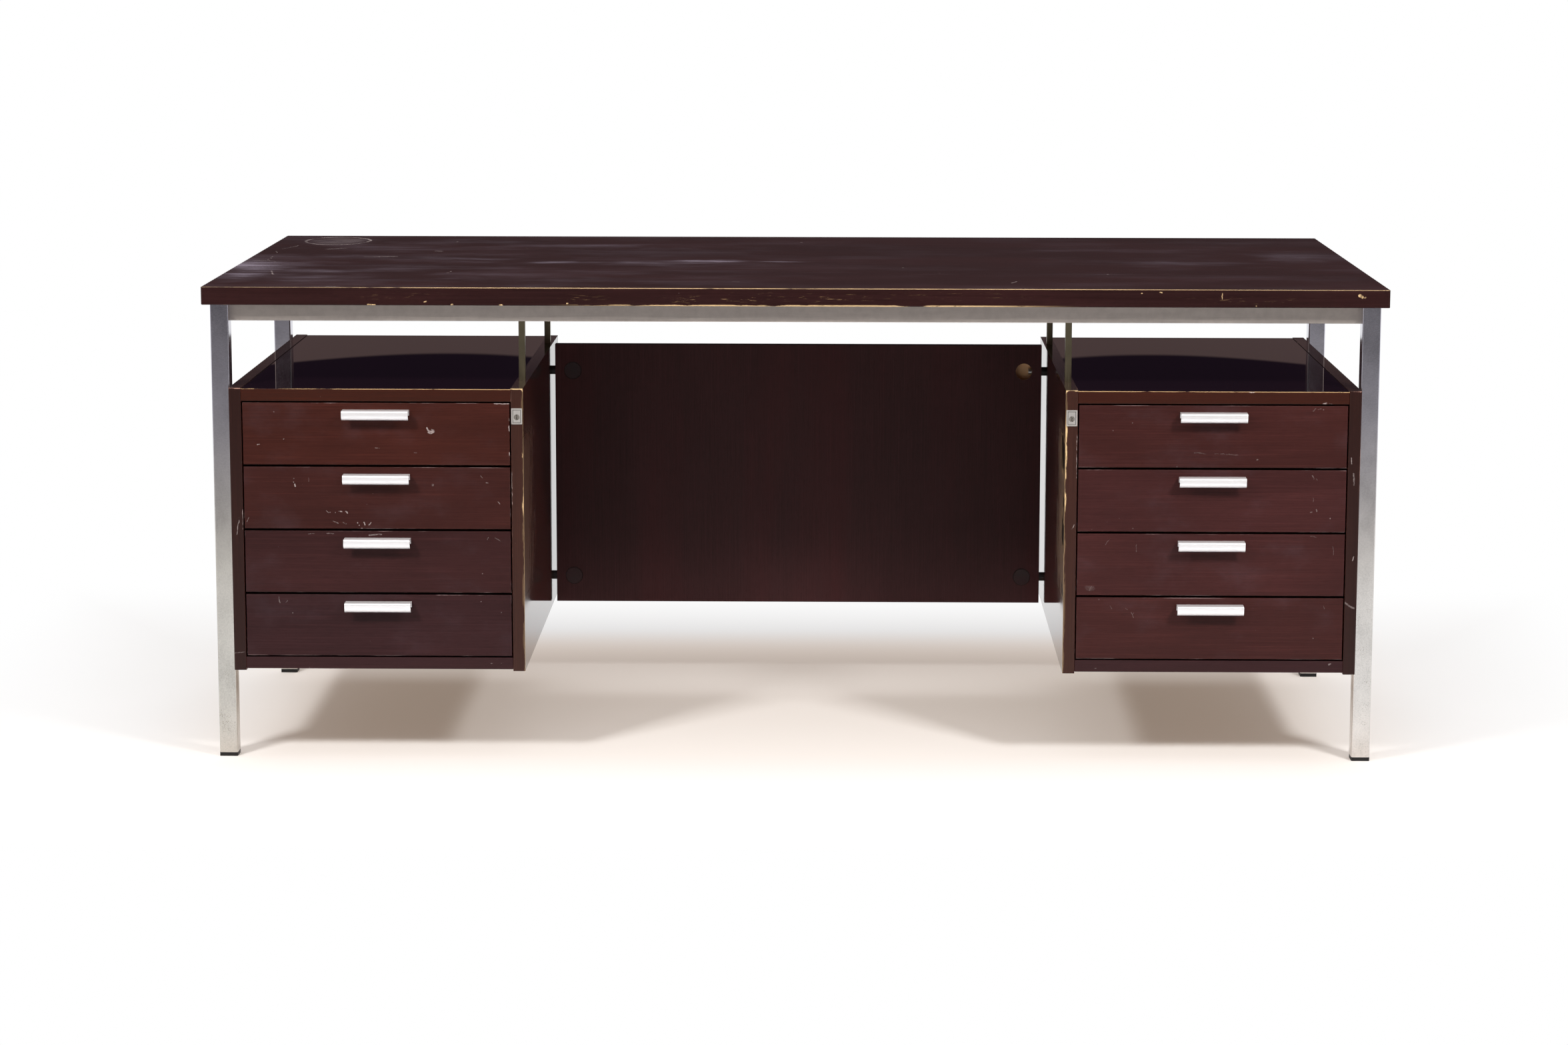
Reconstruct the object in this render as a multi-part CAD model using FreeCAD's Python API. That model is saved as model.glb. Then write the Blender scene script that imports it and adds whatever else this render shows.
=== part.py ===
"""Kneehole desk: a steel frame carrying a thick top, two four-drawer pedestals and a modesty panel.

Millimetres, +Z up, +X to the right and the drawers opening towards -Y. The origin lies on the floor under
the middle of the desk's overall length and depth.
"""
import FreeCAD, Part
import math
import os

# Desk top
top_width = 1840.0
top_depth = 930.0
top_thickness = 28.0
desk_height = 746.0
top_corner_round = 3.0
top_edge_round = 1.2

# Legs and feet
leg_size = 28.5
leg_wall = 2.0
leg_corner_round = 2.2
side_overhang = 12.0
front_overhang = 10.0
rear_overhang = 232.5
foot_height = 6.0
foot_spigot_height = 14.0
foot_clearance = 0.2

# Rails
rail_height = 27.0
rail_depth = 12.5
rail_wall = 1.5
rail_corner_round = 1.0

# Screws between the rails and the top
top_screw_head_diameter = 8.0
top_screw_head_height = 3.0
top_screw_diameter = 4.5
top_screw_grip = 20.0
top_screw_access_diameter = 10.0
long_rail_screws = 4
side_rail_screws = 2

# Pedestal carcases
pedestal_width = 458.0
pedestal_floor_gap = 142.0
pedestal_proud = 5.0
pedestal_rear_reach = 42.5
panel = 19.0
panel_front_round = 2.0
top_panel_thickness = 19.5
top_panel_drop = 1.0
bottom_panel_thickness = 18.5
bottom_panel_raise = 2.5
strip_recess = 1.2
back_thickness = 12.0

# Hanger bars
hanger_size = 10.0
hanger_length = 102.0
hanger_inset = 112.0
hanger_stud_diameter = 6.0
hanger_stud_length = 25.0

# Screws from the pedestals into the legs
pedestal_screw_diameter = 6.0
pedestal_screw_head_diameter = 12.0
pedestal_screw_head_height = 3.5
pedestal_screw_inset = 60.0
pedestal_screw_reach = 8.0

# Drawers
drawers_per_pedestal = 4
drawer_gap = 3.6
edge_gap = 2.5
side_gap = 1.8
drawer_recess = 1.5
front_thickness = 19.0
front_edge_round = 0.8
box_rear_space = 152.5
box_drop = 8.0
box_top_gap = 11.5
box_wall = 12.0
box_bottom_thickness = 5.0
box_bottom_raise = 8.0
box_bottom_tongue = 5.0
side_space = 9.0

# Drawer runners
runner_height = 12.0
runner_engagement = 5.0
runner_front_inset = 48.0
runner_rear_space = 105.0
running_gap = 0.3

# Drawer pulls
handle_width = 103.5
handle_height = 14.8
handle_reach = 20.0
handle_drop = 10.5
handle_wall = 2.2
handle_shoulder = 3.5
handle_flange_height = 9.0
handle_curl_height = 7.4
handle_curl_depth = 5.0

# Locks
lock_drop = 44.4
lock_plate_width = 17.0
lock_plate_height = 25.0
lock_plate_raise = 1.4
lock_plate_proud = 1.2
lock_plate_round = 0.8
lock_rim = 2.2
lock_groove_width = 0.7
lock_groove_depth = 0.6
lock_case_width = 14.0
lock_case_height = 22.0
lock_case_length = 26.0
lock_pocket_clearance = 0.2
plug_diameter = 9.0
plug_clearance = 0.06
keyway_width = 1.3
keyway_height = 7.6
keyway_depth = 6.0
keyway_steps = 4
keyway_jog = 0.4
crank_rim = 0.5
crank_thickness = 2.5
crank_radius = 5.0
crank_gap = 0.4
crank_pin_diameter = 3.0

# Locking bars
bar_thickness = 3.0
bar_inset = 3.0
bar_gap = 0.4
bar_slot_gap = 0.3
bar_head = 12.0
bar_tail = 15.0
tab_pass_gap = 1.0
tab_reach = 7.0
catch_thickness = 6.0
catch_length = 10.0
catch_raise = 2.0
catch_gap = 0.6

# Modesty panel
modesty_thickness = 19.0
modesty_setback = 136.5
modesty_gap = 5.0
access_hole_diameter = 28.0
access_hole_spare = 1.0
access_hole_inset_x = 30.0
access_hole_inset_z = 45.0
bolt_diameter = 6.0
bolt_head_diameter = 10.0
bolt_head_height = 5.0
bolt_cap_gap = 0.6
bolt_tip_cover = 5.0
spacer_diameter = 15.0
cap_thickness = 2.0
cap_proud = 0.6
cap_clearance = 0.15

# Clearance round every fastener in its hole, how far a cut starts outside its piece, and a tolerance
hole_clearance = 0.15
overshoot = 1.0
tiny = 1e-6

# Overall depth, from the front of the pulls to the back of the top
overall_depth = handle_reach - drawer_recess + pedestal_proud + top_depth
y_drawer_face = handle_reach - overall_depth / 2
y_pedestal_front = y_drawer_face - drawer_recess
y_top_front = y_pedestal_front + pedestal_proud
y_top_back = y_top_front + top_depth
y_front_leg = y_top_front + front_overhang
y_rear_leg = y_top_back - rear_overhang - leg_size
y_pedestal_back = y_rear_leg + leg_size + pedestal_rear_reach

# Heights
z_top_under = desk_height - top_thickness
z_rail_under = z_top_under - rail_height
z_pedestal_low = pedestal_floor_gap
z_pedestal_high = z_rail_under - hanger_length
z_opening_low = z_pedestal_low + bottom_panel_raise + bottom_panel_thickness
z_opening_high = z_pedestal_high - top_panel_drop - top_panel_thickness
z_lock = z_pedestal_high - lock_drop

# Distances from the desk's middle plane, the same on both sides
u_leg_out = top_width / 2 - side_overhang
u_leg_in = u_leg_out - leg_size
u_outer_face = u_leg_in
u_inner_face = u_outer_face - pedestal_width
u_open_out = u_outer_face - panel
u_open_in = u_inner_face + panel
u_panel_middle = u_inner_face + panel / 2
u_modesty_end = u_inner_face - modesty_gap

# Drawer sizes that follow from the opening
opening_height = z_opening_high - z_opening_low
all_gaps = 2 * edge_gap + (drawers_per_pedestal - 1) * drawer_gap
front_height = (opening_height - all_gaps) / drawers_per_pedestal
box_height = front_height - box_drop - box_top_gap
drawer_pitch = front_height + drawer_gap
u_drawer_middle = (u_open_in + u_open_out) / 2
y_box_front = y_drawer_face + front_thickness
y_inside_back = y_pedestal_back - back_thickness
y_box_back = y_inside_back - box_rear_space
y_runner_front = y_pedestal_front + runner_front_inset
y_runner_back = y_inside_back - runner_rear_space

# Lock travel: the crank pin swings from 45 degrees below to 45 degrees above
crank_half_rise = crank_radius * math.sin(math.radians(45.0))
crank_diameter = 2 * (crank_radius + crank_rim) + crank_pin_diameter
bar_travel = 2 * crank_half_rise
tab_height = bar_travel - tab_pass_gap
y_lock_face = y_pedestal_front - lock_plate_proud
y_case_back = y_pedestal_front + lock_case_length
y_crank_front = y_case_back + crank_gap
y_crank_back = y_crank_front + crank_thickness
y_bar_front = y_crank_back + crank_gap
y_bar_back = y_bar_front + bar_thickness

SIDES = {"left": -1, "right": 1}


def block(x0, x1, y0, y1, z0, z1):
    """A box between two corners, given in any order."""
    low = FreeCAD.Vector(min(x0, x1), min(y0, y1), min(z0, z1))
    return Part.makeBox(abs(x1 - x0), abs(y1 - y0), abs(z1 - z0), low)


def rod(radius, start, end):
    """A round bar between two points."""
    start = FreeCAD.Vector(*start)
    along = FreeCAD.Vector(*end) - start
    return Part.makeCylinder(radius, along.Length, start, along)


def edges_along(shape, axis):
    """The straight edges of a shape that run along one axis: 0, 1 or 2."""
    found = []
    for edge in shape.Edges:
        if len(edge.Vertexes) != 2:
            continue
        step = edge.Vertexes[1].Point - edge.Vertexes[0].Point
        if step.Length > tiny and step.Length - abs(step[axis]) < tiny:
            found.append(edge)
    return found


def square_tube(x0, x1, y0, y1, z0, z1, axis, wall, corner):
    """A square tube along one axis, with rounded outside corners."""
    outer = block(x0, x1, y0, y1, z0, z1)
    outer = outer.makeFillet(corner, edges_along(outer, axis))
    walls = [wall, wall, wall]
    walls[axis] = 0.0
    inner = block(x0 + walls[0], x1 - walls[0], y0 + walls[1], y1 - walls[1], z0 + walls[2], z1 - walls[2])
    return outer.cut(inner)


def export(name, solids):
    """Writes one piece, or a group of separate like pieces, to its own file."""
    shape = solids[0] if len(solids) == 1 else Part.makeCompound(solids)
    shape.exportStep("parts/" + name + ".step")


def spread(count, low, high):
    """Evenly spaced places, half a step in from both ends."""
    step = (high - low) / count
    return [low + step * (i + 0.5) for i in range(count)]


# Frame: legs, feet, rails and the screws into the top


def leg_low_y(place):
    return y_front_leg if place == "front" else y_rear_leg


def pedestal_screw_heights():
    return [z_pedestal_low + pedestal_screw_inset, z_pedestal_high - pedestal_screw_inset]


def leg(place, side):
    y0 = leg_low_y(place)
    x0 = min(side * u_leg_in, side * u_leg_out)
    tube = square_tube(x0, x0 + leg_size, y0, y0 + leg_size, foot_height, z_top_under, 2, leg_wall,
                       leg_corner_round)
    y_mid = y0 + leg_size / 2
    for z in pedestal_screw_heights():
        start = (side * (u_leg_in - overshoot), y_mid, z)
        end = (side * (u_leg_in + leg_size / 2), y_mid, z)
        tube = tube.cut(rod(pedestal_screw_diameter / 2 + hole_clearance, start, end))
    return tube


def foot(place, side):
    y0 = leg_low_y(place)
    x0 = min(side * u_leg_in, side * u_leg_out)
    plate = block(x0, x0 + leg_size, y0, y0 + leg_size, 0, foot_height)
    plate = plate.makeFillet(leg_corner_round, edges_along(plate, 2))
    inset = leg_wall + foot_clearance
    spigot = block(x0 + inset, x0 + leg_size - inset, y0 + inset, y0 + leg_size - inset, foot_height,
                   foot_height + foot_spigot_height)
    return plate.fuse(spigot).removeSplitter()


def top_screw(x, y):
    """A screw whose head bears on the rail's upper wall and whose thread grips the top."""
    z_seat = z_top_under - rail_wall
    head = rod(top_screw_head_diameter / 2, (x, y, z_seat - top_screw_head_height), (x, y, z_seat))
    shank = rod(top_screw_diameter / 2, (x, y, z_seat), (x, y, z_top_under + top_screw_grip))
    return head.fuse(shank)


def drill_rail(rail, places):
    """Opens the rail for its screws: wide below for the driver, close above for the shank."""
    for x, y in places:
        access = rod(top_screw_access_diameter / 2, (x, y, z_rail_under - overshoot),
                     (x, y, z_rail_under + rail_height / 2))
        close = rod(top_screw_diameter / 2 + hole_clearance, (x, y, z_rail_under),
                    (x, y, z_top_under + overshoot))
        rail = rail.cut(access).cut(close)
    return rail


y_front_rail = y_front_leg + leg_size - rail_depth
y_rear_rail = y_rear_leg
u_side_rail = u_leg_in


def long_rail_places(y0):
    y = y0 + rail_depth / 2
    return [(x, y) for x in spread(long_rail_screws, -u_leg_in, u_leg_in)]


def side_rail_places(side):
    x = side * (u_side_rail + rail_depth / 2)
    return [(x, y) for y in spread(side_rail_screws, y_front_leg + leg_size, y_rear_leg)]


def all_rail_places():
    long_places = long_rail_places(y_front_rail) + long_rail_places(y_rear_rail)
    return long_places + side_rail_places(-1) + side_rail_places(1)


def long_rail(y0):
    tube = square_tube(-u_leg_in, u_leg_in, y0, y0 + rail_depth, z_rail_under, z_top_under, 0, rail_wall,
                       rail_corner_round)
    return drill_rail(tube, long_rail_places(y0))


def side_rail(side):
    x0 = min(side * u_side_rail, side * (u_side_rail + rail_depth))
    tube = square_tube(x0, x0 + rail_depth, y_front_leg + leg_size, y_rear_leg, z_rail_under, z_top_under, 1,
                       rail_wall, rail_corner_round)
    return drill_rail(tube, side_rail_places(side))


def cross_rail(side):
    x0 = side * u_panel_middle - rail_depth / 2
    return square_tube(x0, x0 + rail_depth, y_front_rail + rail_depth, y_rear_rail, z_rail_under,
                       z_top_under, 1, rail_wall, rail_corner_round)


def hanger_places():
    return [y_pedestal_front + hanger_inset, y_pedestal_back - hanger_inset]


def hanger(side, y):
    """A square bar welded under the cross rail, with a stud into the pedestal's inner side."""
    x = side * u_panel_middle
    half = hanger_size / 2
    bar = block(x - half, x + half, y - half, y + half, z_pedestal_high, z_rail_under)
    z_tip = z_pedestal_high - hanger_stud_length
    stud = rod(hanger_stud_diameter / 2, (x, y, z_tip), (x, y, z_pedestal_high))
    return bar.fuse(stud)


def desk_top():
    board = block(-top_width / 2, top_width / 2, y_top_front, y_top_back, z_top_under, desk_height)
    board = board.makeFillet(top_corner_round, edges_along(board, 2))
    level = [e for e in board.Edges if abs(e.BoundBox.ZMax - e.BoundBox.ZMin) < tiny]
    board = board.makeFillet(min(top_edge_round, top_thickness / 4), level)
    for x, y in all_rail_places():
        pilot = rod(top_screw_diameter / 2 + hole_clearance, (x, y, z_top_under - overshoot),
                    (x, y, z_top_under + top_screw_grip + hole_clearance))
        board = board.cut(pilot)
    return board


# Pedestal carcases


def side_board(side, u0, u1):
    board = block(side * u0, side * u1, y_pedestal_front, y_pedestal_back, z_pedestal_low, z_pedestal_high)
    front = [e for e in edges_along(board, 2) if e.BoundBox.YMax < y_pedestal_front + tiny]
    return board.makeFillet(min(panel_front_round, panel / 4), front)


def pedestal_screw(side, y, z):
    """A countersunk screw through the outer side into the leg."""
    u_head = u_open_out
    u_neck = u_open_out + pedestal_screw_head_height
    u_tip = u_leg_in + pedestal_screw_reach
    head = Part.makeCone(pedestal_screw_head_diameter / 2, pedestal_screw_diameter / 2,
                         pedestal_screw_head_height, FreeCAD.Vector(side * u_head, y, z),
                         FreeCAD.Vector(side, 0, 0))
    shank = rod(pedestal_screw_diameter / 2, (side * u_neck, y, z), (side * u_tip, y, z))
    return head.fuse(shank)


def pedestal_screw_places():
    rows = [y_front_leg + leg_size / 2, y_rear_leg + leg_size / 2]
    return [(y, z) for y in rows for z in pedestal_screw_heights()]


def outer_side(side):
    board = side_board(side, u_open_out, u_outer_face)
    for y, z in pedestal_screw_places():
        seat = Part.makeCone(pedestal_screw_head_diameter / 2 + hole_clearance,
                             pedestal_screw_diameter / 2 + hole_clearance, pedestal_screw_head_height,
                             FreeCAD.Vector(side * u_open_out, y, z), FreeCAD.Vector(side, 0, 0))
        bore = rod(pedestal_screw_diameter / 2 + hole_clearance, (side * u_open_out, y, z),
                   (side * (u_outer_face + overshoot), y, z))
        board = board.cut(seat).cut(bore)
    return board


def inner_side(side):
    board = side_board(side, u_inner_face, u_open_in)
    x = side * u_panel_middle
    for y in hanger_places():
        z_hole = z_pedestal_high - hanger_stud_length - hole_clearance
        stud_hole = rod(hanger_stud_diameter / 2 + hole_clearance, (x, y, z_hole),
                        (x, y, z_pedestal_high + overshoot))
        board = board.cut(stud_hole)
    for z in bolt_heights():
        bolt_hole = rod(bolt_diameter / 2 + hole_clearance, (side * (u_inner_face - overshoot), y_bolt, z),
                        (side * (u_inner_face + bolt_grip + hole_clearance), y_bolt, z))
        board = board.cut(bolt_hole)
    return board.cut(lock_pocket(side)).cut(bar_kerf(side))


def pedestal_top(side):
    return block(side * u_open_in, side * u_open_out, y_pedestal_front + strip_recess, y_pedestal_back,
                 z_opening_high, z_pedestal_high - top_panel_drop)


def pedestal_bottom(side):
    return block(side * u_open_in, side * u_open_out, y_pedestal_front + strip_recess, y_pedestal_back,
                 z_pedestal_low + bottom_panel_raise, z_opening_low)


def pedestal_back(side):
    return block(side * u_open_in, side * u_open_out, y_inside_back, y_pedestal_back, z_opening_low,
                 z_opening_high)


# Locks and locking bars


def lock_pocket(side):
    """The mortise for the case, with room behind it for the crank to turn."""
    x = side * u_panel_middle
    half_width = lock_case_width / 2 + lock_pocket_clearance
    half_height = lock_case_height / 2 + lock_pocket_clearance
    mortise = block(x - half_width, x + half_width, y_pedestal_front - overshoot, y_case_back,
                    z_lock - half_height, z_lock + half_height)
    room = rod(crank_diameter / 2 + crank_gap, (x, y_case_back, z_lock), (x, y_bar_front, z_lock))
    return mortise.fuse(room)


def lock_plate(x, inset, y0, y1):
    """The plate's outline, drawn in by an inset, between two depths."""
    half_width = lock_plate_width / 2 - inset
    half_height = lock_plate_height / 2 - inset
    z_mid = z_lock + lock_plate_raise
    return block(x - half_width, x + half_width, y0, y1, z_mid - half_height, z_mid + half_height)


def lock_case(side):
    """The case in the board and its plate, whose rim a groove sets apart from the field round the plug."""
    x = side * u_panel_middle
    plate = lock_plate(x, 0, y_lock_face, y_pedestal_front)
    plate = plate.makeFillet(lock_plate_round, edges_along(plate, 1))
    y_groove = y_lock_face + lock_groove_depth
    field = lock_plate(x, lock_rim + lock_groove_width, y_lock_face, y_groove)
    groove = lock_plate(x, lock_rim, y_lock_face - overshoot, y_groove).cut(field)
    body = block(x - lock_case_width / 2, x + lock_case_width / 2, y_pedestal_front, y_case_back,
                 z_lock - lock_case_height / 2, z_lock + lock_case_height / 2)
    bore = rod(plug_diameter / 2 + plug_clearance, (x, y_lock_face - overshoot, z_lock),
               (x, y_case_back + overshoot, z_lock))
    return plate.cut(groove).fuse(body).cut(bore).removeSplitter()


def keyway(x):
    """A slot that jogs from side to side on its way down."""
    step = keyway_height / keyway_steps
    slot = []
    for i in range(keyway_steps):
        x_mid = x + keyway_jog * (-1) ** i
        z0 = z_lock - keyway_height / 2 + i * step
        slot.append(block(x_mid - keyway_width / 2, x_mid + keyway_width / 2, y_lock_face - overshoot,
                          y_lock_face + keyway_depth, z0, z0 + step))
    return slot[0].fuse(slot[1:])


def lock_plug(side):
    """The plug with its keyway, the crank behind the case and the pin that lifts the bar."""
    x = side * u_panel_middle
    barrel = rod(plug_diameter / 2, (x, y_lock_face, z_lock), (x, y_crank_front, z_lock))
    barrel = barrel.cut(keyway(x))
    crank = rod(crank_diameter / 2, (x, y_crank_front, z_lock), (x, y_crank_back, z_lock))
    x_pin = x + side * crank_half_rise
    z_pin = z_lock - crank_half_rise
    pin = rod(crank_pin_diameter / 2, (x_pin, y_crank_back, z_pin), (x_pin, y_bar_back, z_pin))
    return barrel.fuse(crank).fuse(pin)


def catch_low(index):
    """The underside of a drawer's catch, counting drawers from the top."""
    return drawer_low(index) + box_drop + catch_raise


def tab_heights():
    return [catch_low(i) - bar_travel for i in range(drawers_per_pedestal)]


def bar_span():
    return min(tab_heights()) - bar_tail, z_lock - crank_half_rise + bar_head


def locking_bar(side):
    """A flat bar in the inner side, with a slot for the crank pin and a tab for every drawer."""
    z0, z1 = bar_span()
    u_back = u_panel_middle - bar_inset
    u_front = u_open_in - bar_gap
    bar = block(side * u_back, side * u_front, y_bar_front, y_bar_back, z0, z1)
    for z in tab_heights():
        bar = bar.fuse(block(side * u_front, side * (u_open_in + tab_reach), y_bar_front, y_bar_back, z,
                             z + tab_height))
    reach = crank_pin_diameter / 2 + bar_slot_gap
    z_pin = z_lock - crank_half_rise
    u_low = u_panel_middle + crank_half_rise - reach
    u_high = u_panel_middle + crank_radius + reach
    slot = block(side * u_low, side * u_high, y_bar_front - overshoot, y_bar_back + overshoot, z_pin - reach,
                 z_pin + reach)
    return bar.cut(slot).removeSplitter()


def bar_kerf(side):
    """The groove in which the locking bar slides, open towards the drawers."""
    z0, z1 = bar_span()
    return block(side * (u_panel_middle - bar_inset - bar_gap), side * (u_open_in + overshoot),
                 y_bar_front - bar_gap, y_bar_back + bar_gap, z0 - bar_gap, z1 + bar_travel + bar_gap)


# Drawers, runners and pulls


def drawer_low(index):
    """The underside of a drawer front, counting drawers from the top."""
    return z_opening_high - edge_gap - front_height - index * drawer_pitch


def drawer_front(side, index):
    z0 = drawer_low(index)
    board = block(side * (u_open_in + side_gap), side * (u_open_out - side_gap), y_drawer_face, y_box_front,
                  z0, z0 + front_height)
    face = [e for e in board.Edges if e.BoundBox.YMax < y_drawer_face + tiny]
    return board.makeFillet(min(front_edge_round, front_thickness / 4), face)


def runner_low(index):
    return drawer_low(index) + box_drop + (box_height - runner_height) / 2


def runner(side, index, outer):
    """A strip on one side of the opening, reaching into the groove of the drawer's side."""
    reach = side_space + runner_engagement
    u_fixed = u_open_out if outer else u_open_in
    u_free = u_fixed - reach if outer else u_fixed + reach
    z0 = runner_low(index)
    return block(side * u_fixed, side * u_free, y_runner_front, y_runner_back, z0,
                 z0 + runner_height)


def box_side(side, index, outer):
    """A drawer side with its runner groove outside and the groove for the bottom inside."""
    z0 = drawer_low(index) + box_drop
    inward = -1 if outer else 1
    u_face = (u_open_out if outer else u_open_in) + inward * side_space
    u_back = u_face + inward * box_wall
    board = block(side * u_face, side * u_back, y_box_front, y_box_back, z0, z0 + box_height)
    z_groove = runner_low(index) - running_gap
    u_groove = u_face + inward * (runner_engagement + running_gap)
    runner_groove = block(side * (u_face - inward * overshoot), side * u_groove, y_runner_front - running_gap,
                          y_box_back + overshoot, z_groove, z_groove + runner_height + 2 * running_gap)
    z_bottom = z0 + box_bottom_raise - hole_clearance
    bottom_groove = block(side * (u_back - inward * (box_bottom_tongue + hole_clearance)),
                          side * (u_back + inward * overshoot), y_box_front - overshoot,
                          y_box_back + overshoot, z_bottom,
                          z_bottom + box_bottom_thickness + 2 * hole_clearance)
    return board.cut(runner_groove).cut(bottom_groove)


def drawer_box(side, index):
    """The two sides, the back, the bottom and the catch that the locking bar holds."""
    z0 = drawer_low(index) + box_drop
    u_low = u_open_in + side_space + box_wall
    u_high = u_open_out - side_space - box_wall
    z_floor = z0 + box_bottom_raise
    back = block(side * u_low, side * u_high, y_box_back - box_wall, y_box_back,
                 z_floor + box_bottom_thickness, z0 + box_height)
    bottom = block(side * (u_low - box_bottom_tongue), side * (u_high + box_bottom_tongue), y_box_front,
                   y_box_back, z_floor, z_floor + box_bottom_thickness)
    u_catch = u_open_in + side_space
    catch = block(side * (u_catch - catch_thickness), side * u_catch, y_bar_back + catch_gap,
                  y_bar_back + catch_gap + catch_length, catch_low(index), catch_low(index) + tab_height)
    return [box_side(side, index, False), box_side(side, index, True), back, bottom, catch]


def handle_outline(z_high):
    """The pull's section: a back flange, a flat top, a rounded shoulder and a lip that curls back below."""
    z_low = z_high - handle_height
    z_flange = z_high - handle_flange_height
    y_back = y_drawer_face
    y_face = y_drawer_face - handle_reach
    y_flange = y_back - handle_wall
    y_inner = y_face + handle_wall
    z_under = z_high - handle_wall
    bend = handle_shoulder
    bend_middle = (y_face + bend, z_high - bend)
    curl_angle = 2 * math.atan2(handle_curl_depth, handle_curl_height)
    curl = handle_curl_height / math.sin(curl_angle)
    curl_middle = (y_face + curl, z_low + handle_curl_height)
    level = math.pi

    def point(y, z):
        return FreeCAD.Vector(0, y, z)

    def line(a, b):
        return Part.LineSegment(point(*a), point(*b)).toShape()

    def on_circle(middle, radius, angle):
        return middle[0] + radius * math.cos(angle), middle[1] + radius * math.sin(angle)

    def arc(middle, radius, first, last):
        angles = (first, (first + last) / 2, last)
        return Part.Arc(*[point(*on_circle(middle, radius, angle)) for angle in angles]).toShape()

    upright = level / 2
    tip = level + curl_angle
    edges = [
        line((y_back, z_flange), (y_back, z_high)),
        line((y_back, z_high), (y_face + bend, z_high)),
        arc(bend_middle, bend, upright, level),
        line((y_face, z_high - bend), (y_face, curl_middle[1])),
        arc(curl_middle, curl, level, tip),
        line(on_circle(curl_middle, curl, tip), on_circle(curl_middle, curl - handle_wall, tip)),
        arc(curl_middle, curl - handle_wall, tip, level),
        line((y_inner, curl_middle[1]), (y_inner, z_high - bend)),
        arc(bend_middle, bend - handle_wall, level, upright),
        line((y_face + bend, z_under), (y_flange, z_under)),
        line((y_flange, z_under), (y_flange, z_flange)),
        line((y_flange, z_flange), (y_back, z_flange)),
    ]
    return Part.Face(Part.Wire(edges))


def handle(side, index):
    z_high = drawer_low(index) + front_height - handle_drop
    section = handle_outline(z_high)
    section.translate(FreeCAD.Vector(side * u_drawer_middle - handle_width / 2, 0, 0))
    return section.extrude(FreeCAD.Vector(handle_width, 0, 0))


# Modesty panel

y_modesty = y_pedestal_back - modesty_setback
bolt_axis_depth = cap_thickness - cap_proud + bolt_cap_gap + bolt_head_diameter / 2
access_hole_depth = bolt_axis_depth + bolt_head_diameter / 2 + access_hole_spare
bolt_grip = panel - bolt_tip_cover
y_bolt = y_modesty + bolt_axis_depth
u_access = u_modesty_end - access_hole_inset_x


def bolt_heights():
    return [z_pedestal_low + access_hole_inset_z, z_pedestal_high - access_hole_inset_z]


def bolt_places():
    return [(side, z) for side in SIDES.values() for z in bolt_heights()]


def bolt_head_plane():
    """How far from the access hole's middle a bolt head seats against the curved wall."""
    radius = access_hole_diameter / 2
    return math.sqrt(radius ** 2 - (bolt_head_diameter / 2) ** 2) - hole_clearance


def modesty_panel():
    board = block(-u_modesty_end, u_modesty_end, y_modesty, y_modesty + modesty_thickness, z_pedestal_low,
                  z_pedestal_high)
    for side, z in bolt_places():
        access = rod(access_hole_diameter / 2, (side * u_access, y_modesty - overshoot, z),
                     (side * u_access, y_modesty + access_hole_depth, z))
        bore = rod(bolt_diameter / 2 + hole_clearance, (side * u_access, y_bolt, z),
                   (side * (u_modesty_end + overshoot), y_bolt, z))
        board = board.cut(access).cut(bore)
    return board


def modesty_bolt(side, z):
    u_seat = u_access + bolt_head_plane()
    u_head = u_seat - bolt_head_height
    head = rod(bolt_head_diameter / 2, (side * u_head, y_bolt, z), (side * u_seat, y_bolt, z))
    shank = rod(bolt_diameter / 2, (side * u_seat, y_bolt, z), (side * (u_inner_face + bolt_grip), y_bolt, z))
    return head.fuse(shank)


def modesty_spacer(side, z):
    disc = rod(spacer_diameter / 2, (side * u_modesty_end, y_bolt, z), (side * u_inner_face, y_bolt, z))
    bore = rod(bolt_diameter / 2 + hole_clearance, (side * (u_modesty_end - overshoot), y_bolt, z),
               (side * (u_inner_face + overshoot), y_bolt, z))
    return disc.cut(bore)


def modesty_cap(side, z):
    radius = access_hole_diameter / 2 - cap_clearance
    y0 = y_modesty - cap_proud
    return rod(radius, (side * u_access, y0, z), (side * u_access, y0 + cap_thickness, z))


# Building and writing every piece


def build_frame():
    export("desk_top", [desk_top()])
    for place in ("front", "rear"):
        for name, side in SIDES.items():
            export(place + "_" + name + "_leg", [leg(place, side)])
    export("feet", [foot(place, side) for place in ("front", "rear") for side in SIDES.values()])
    export("front_rail", [long_rail(y_front_rail)])
    export("rear_rail", [long_rail(y_rear_rail)])
    export("side_rails", [side_rail(side) for side in SIDES.values()])
    export("cross_rails", [cross_rail(side) for side in SIDES.values()])
    export("top_screws", [top_screw(x, y) for x, y in all_rail_places()])
    export("pedestal_hangers", [hanger(side, y) for side in SIDES.values() for y in hanger_places()])
    export("pedestal_screws", [pedestal_screw(side, y, z) for side in SIDES.values()
                               for y, z in pedestal_screw_places()])


def build_pedestal(name, side):
    export(name + "_outer_side", [outer_side(side)])
    export(name + "_inner_side", [inner_side(side)])
    export(name + "_pedestal_top", [pedestal_top(side)])
    export(name + "_pedestal_bottom", [pedestal_bottom(side)])
    export(name + "_pedestal_back", [pedestal_back(side)])
    export(name + "_drawer_runners", [runner(side, index, outer) for index in range(drawers_per_pedestal)
                                      for outer in (False, True)])
    export(name + "_lock_case", [lock_case(side)])
    export(name + "_lock_plug", [lock_plug(side)])
    export(name + "_locking_bar", [locking_bar(side)])


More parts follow.
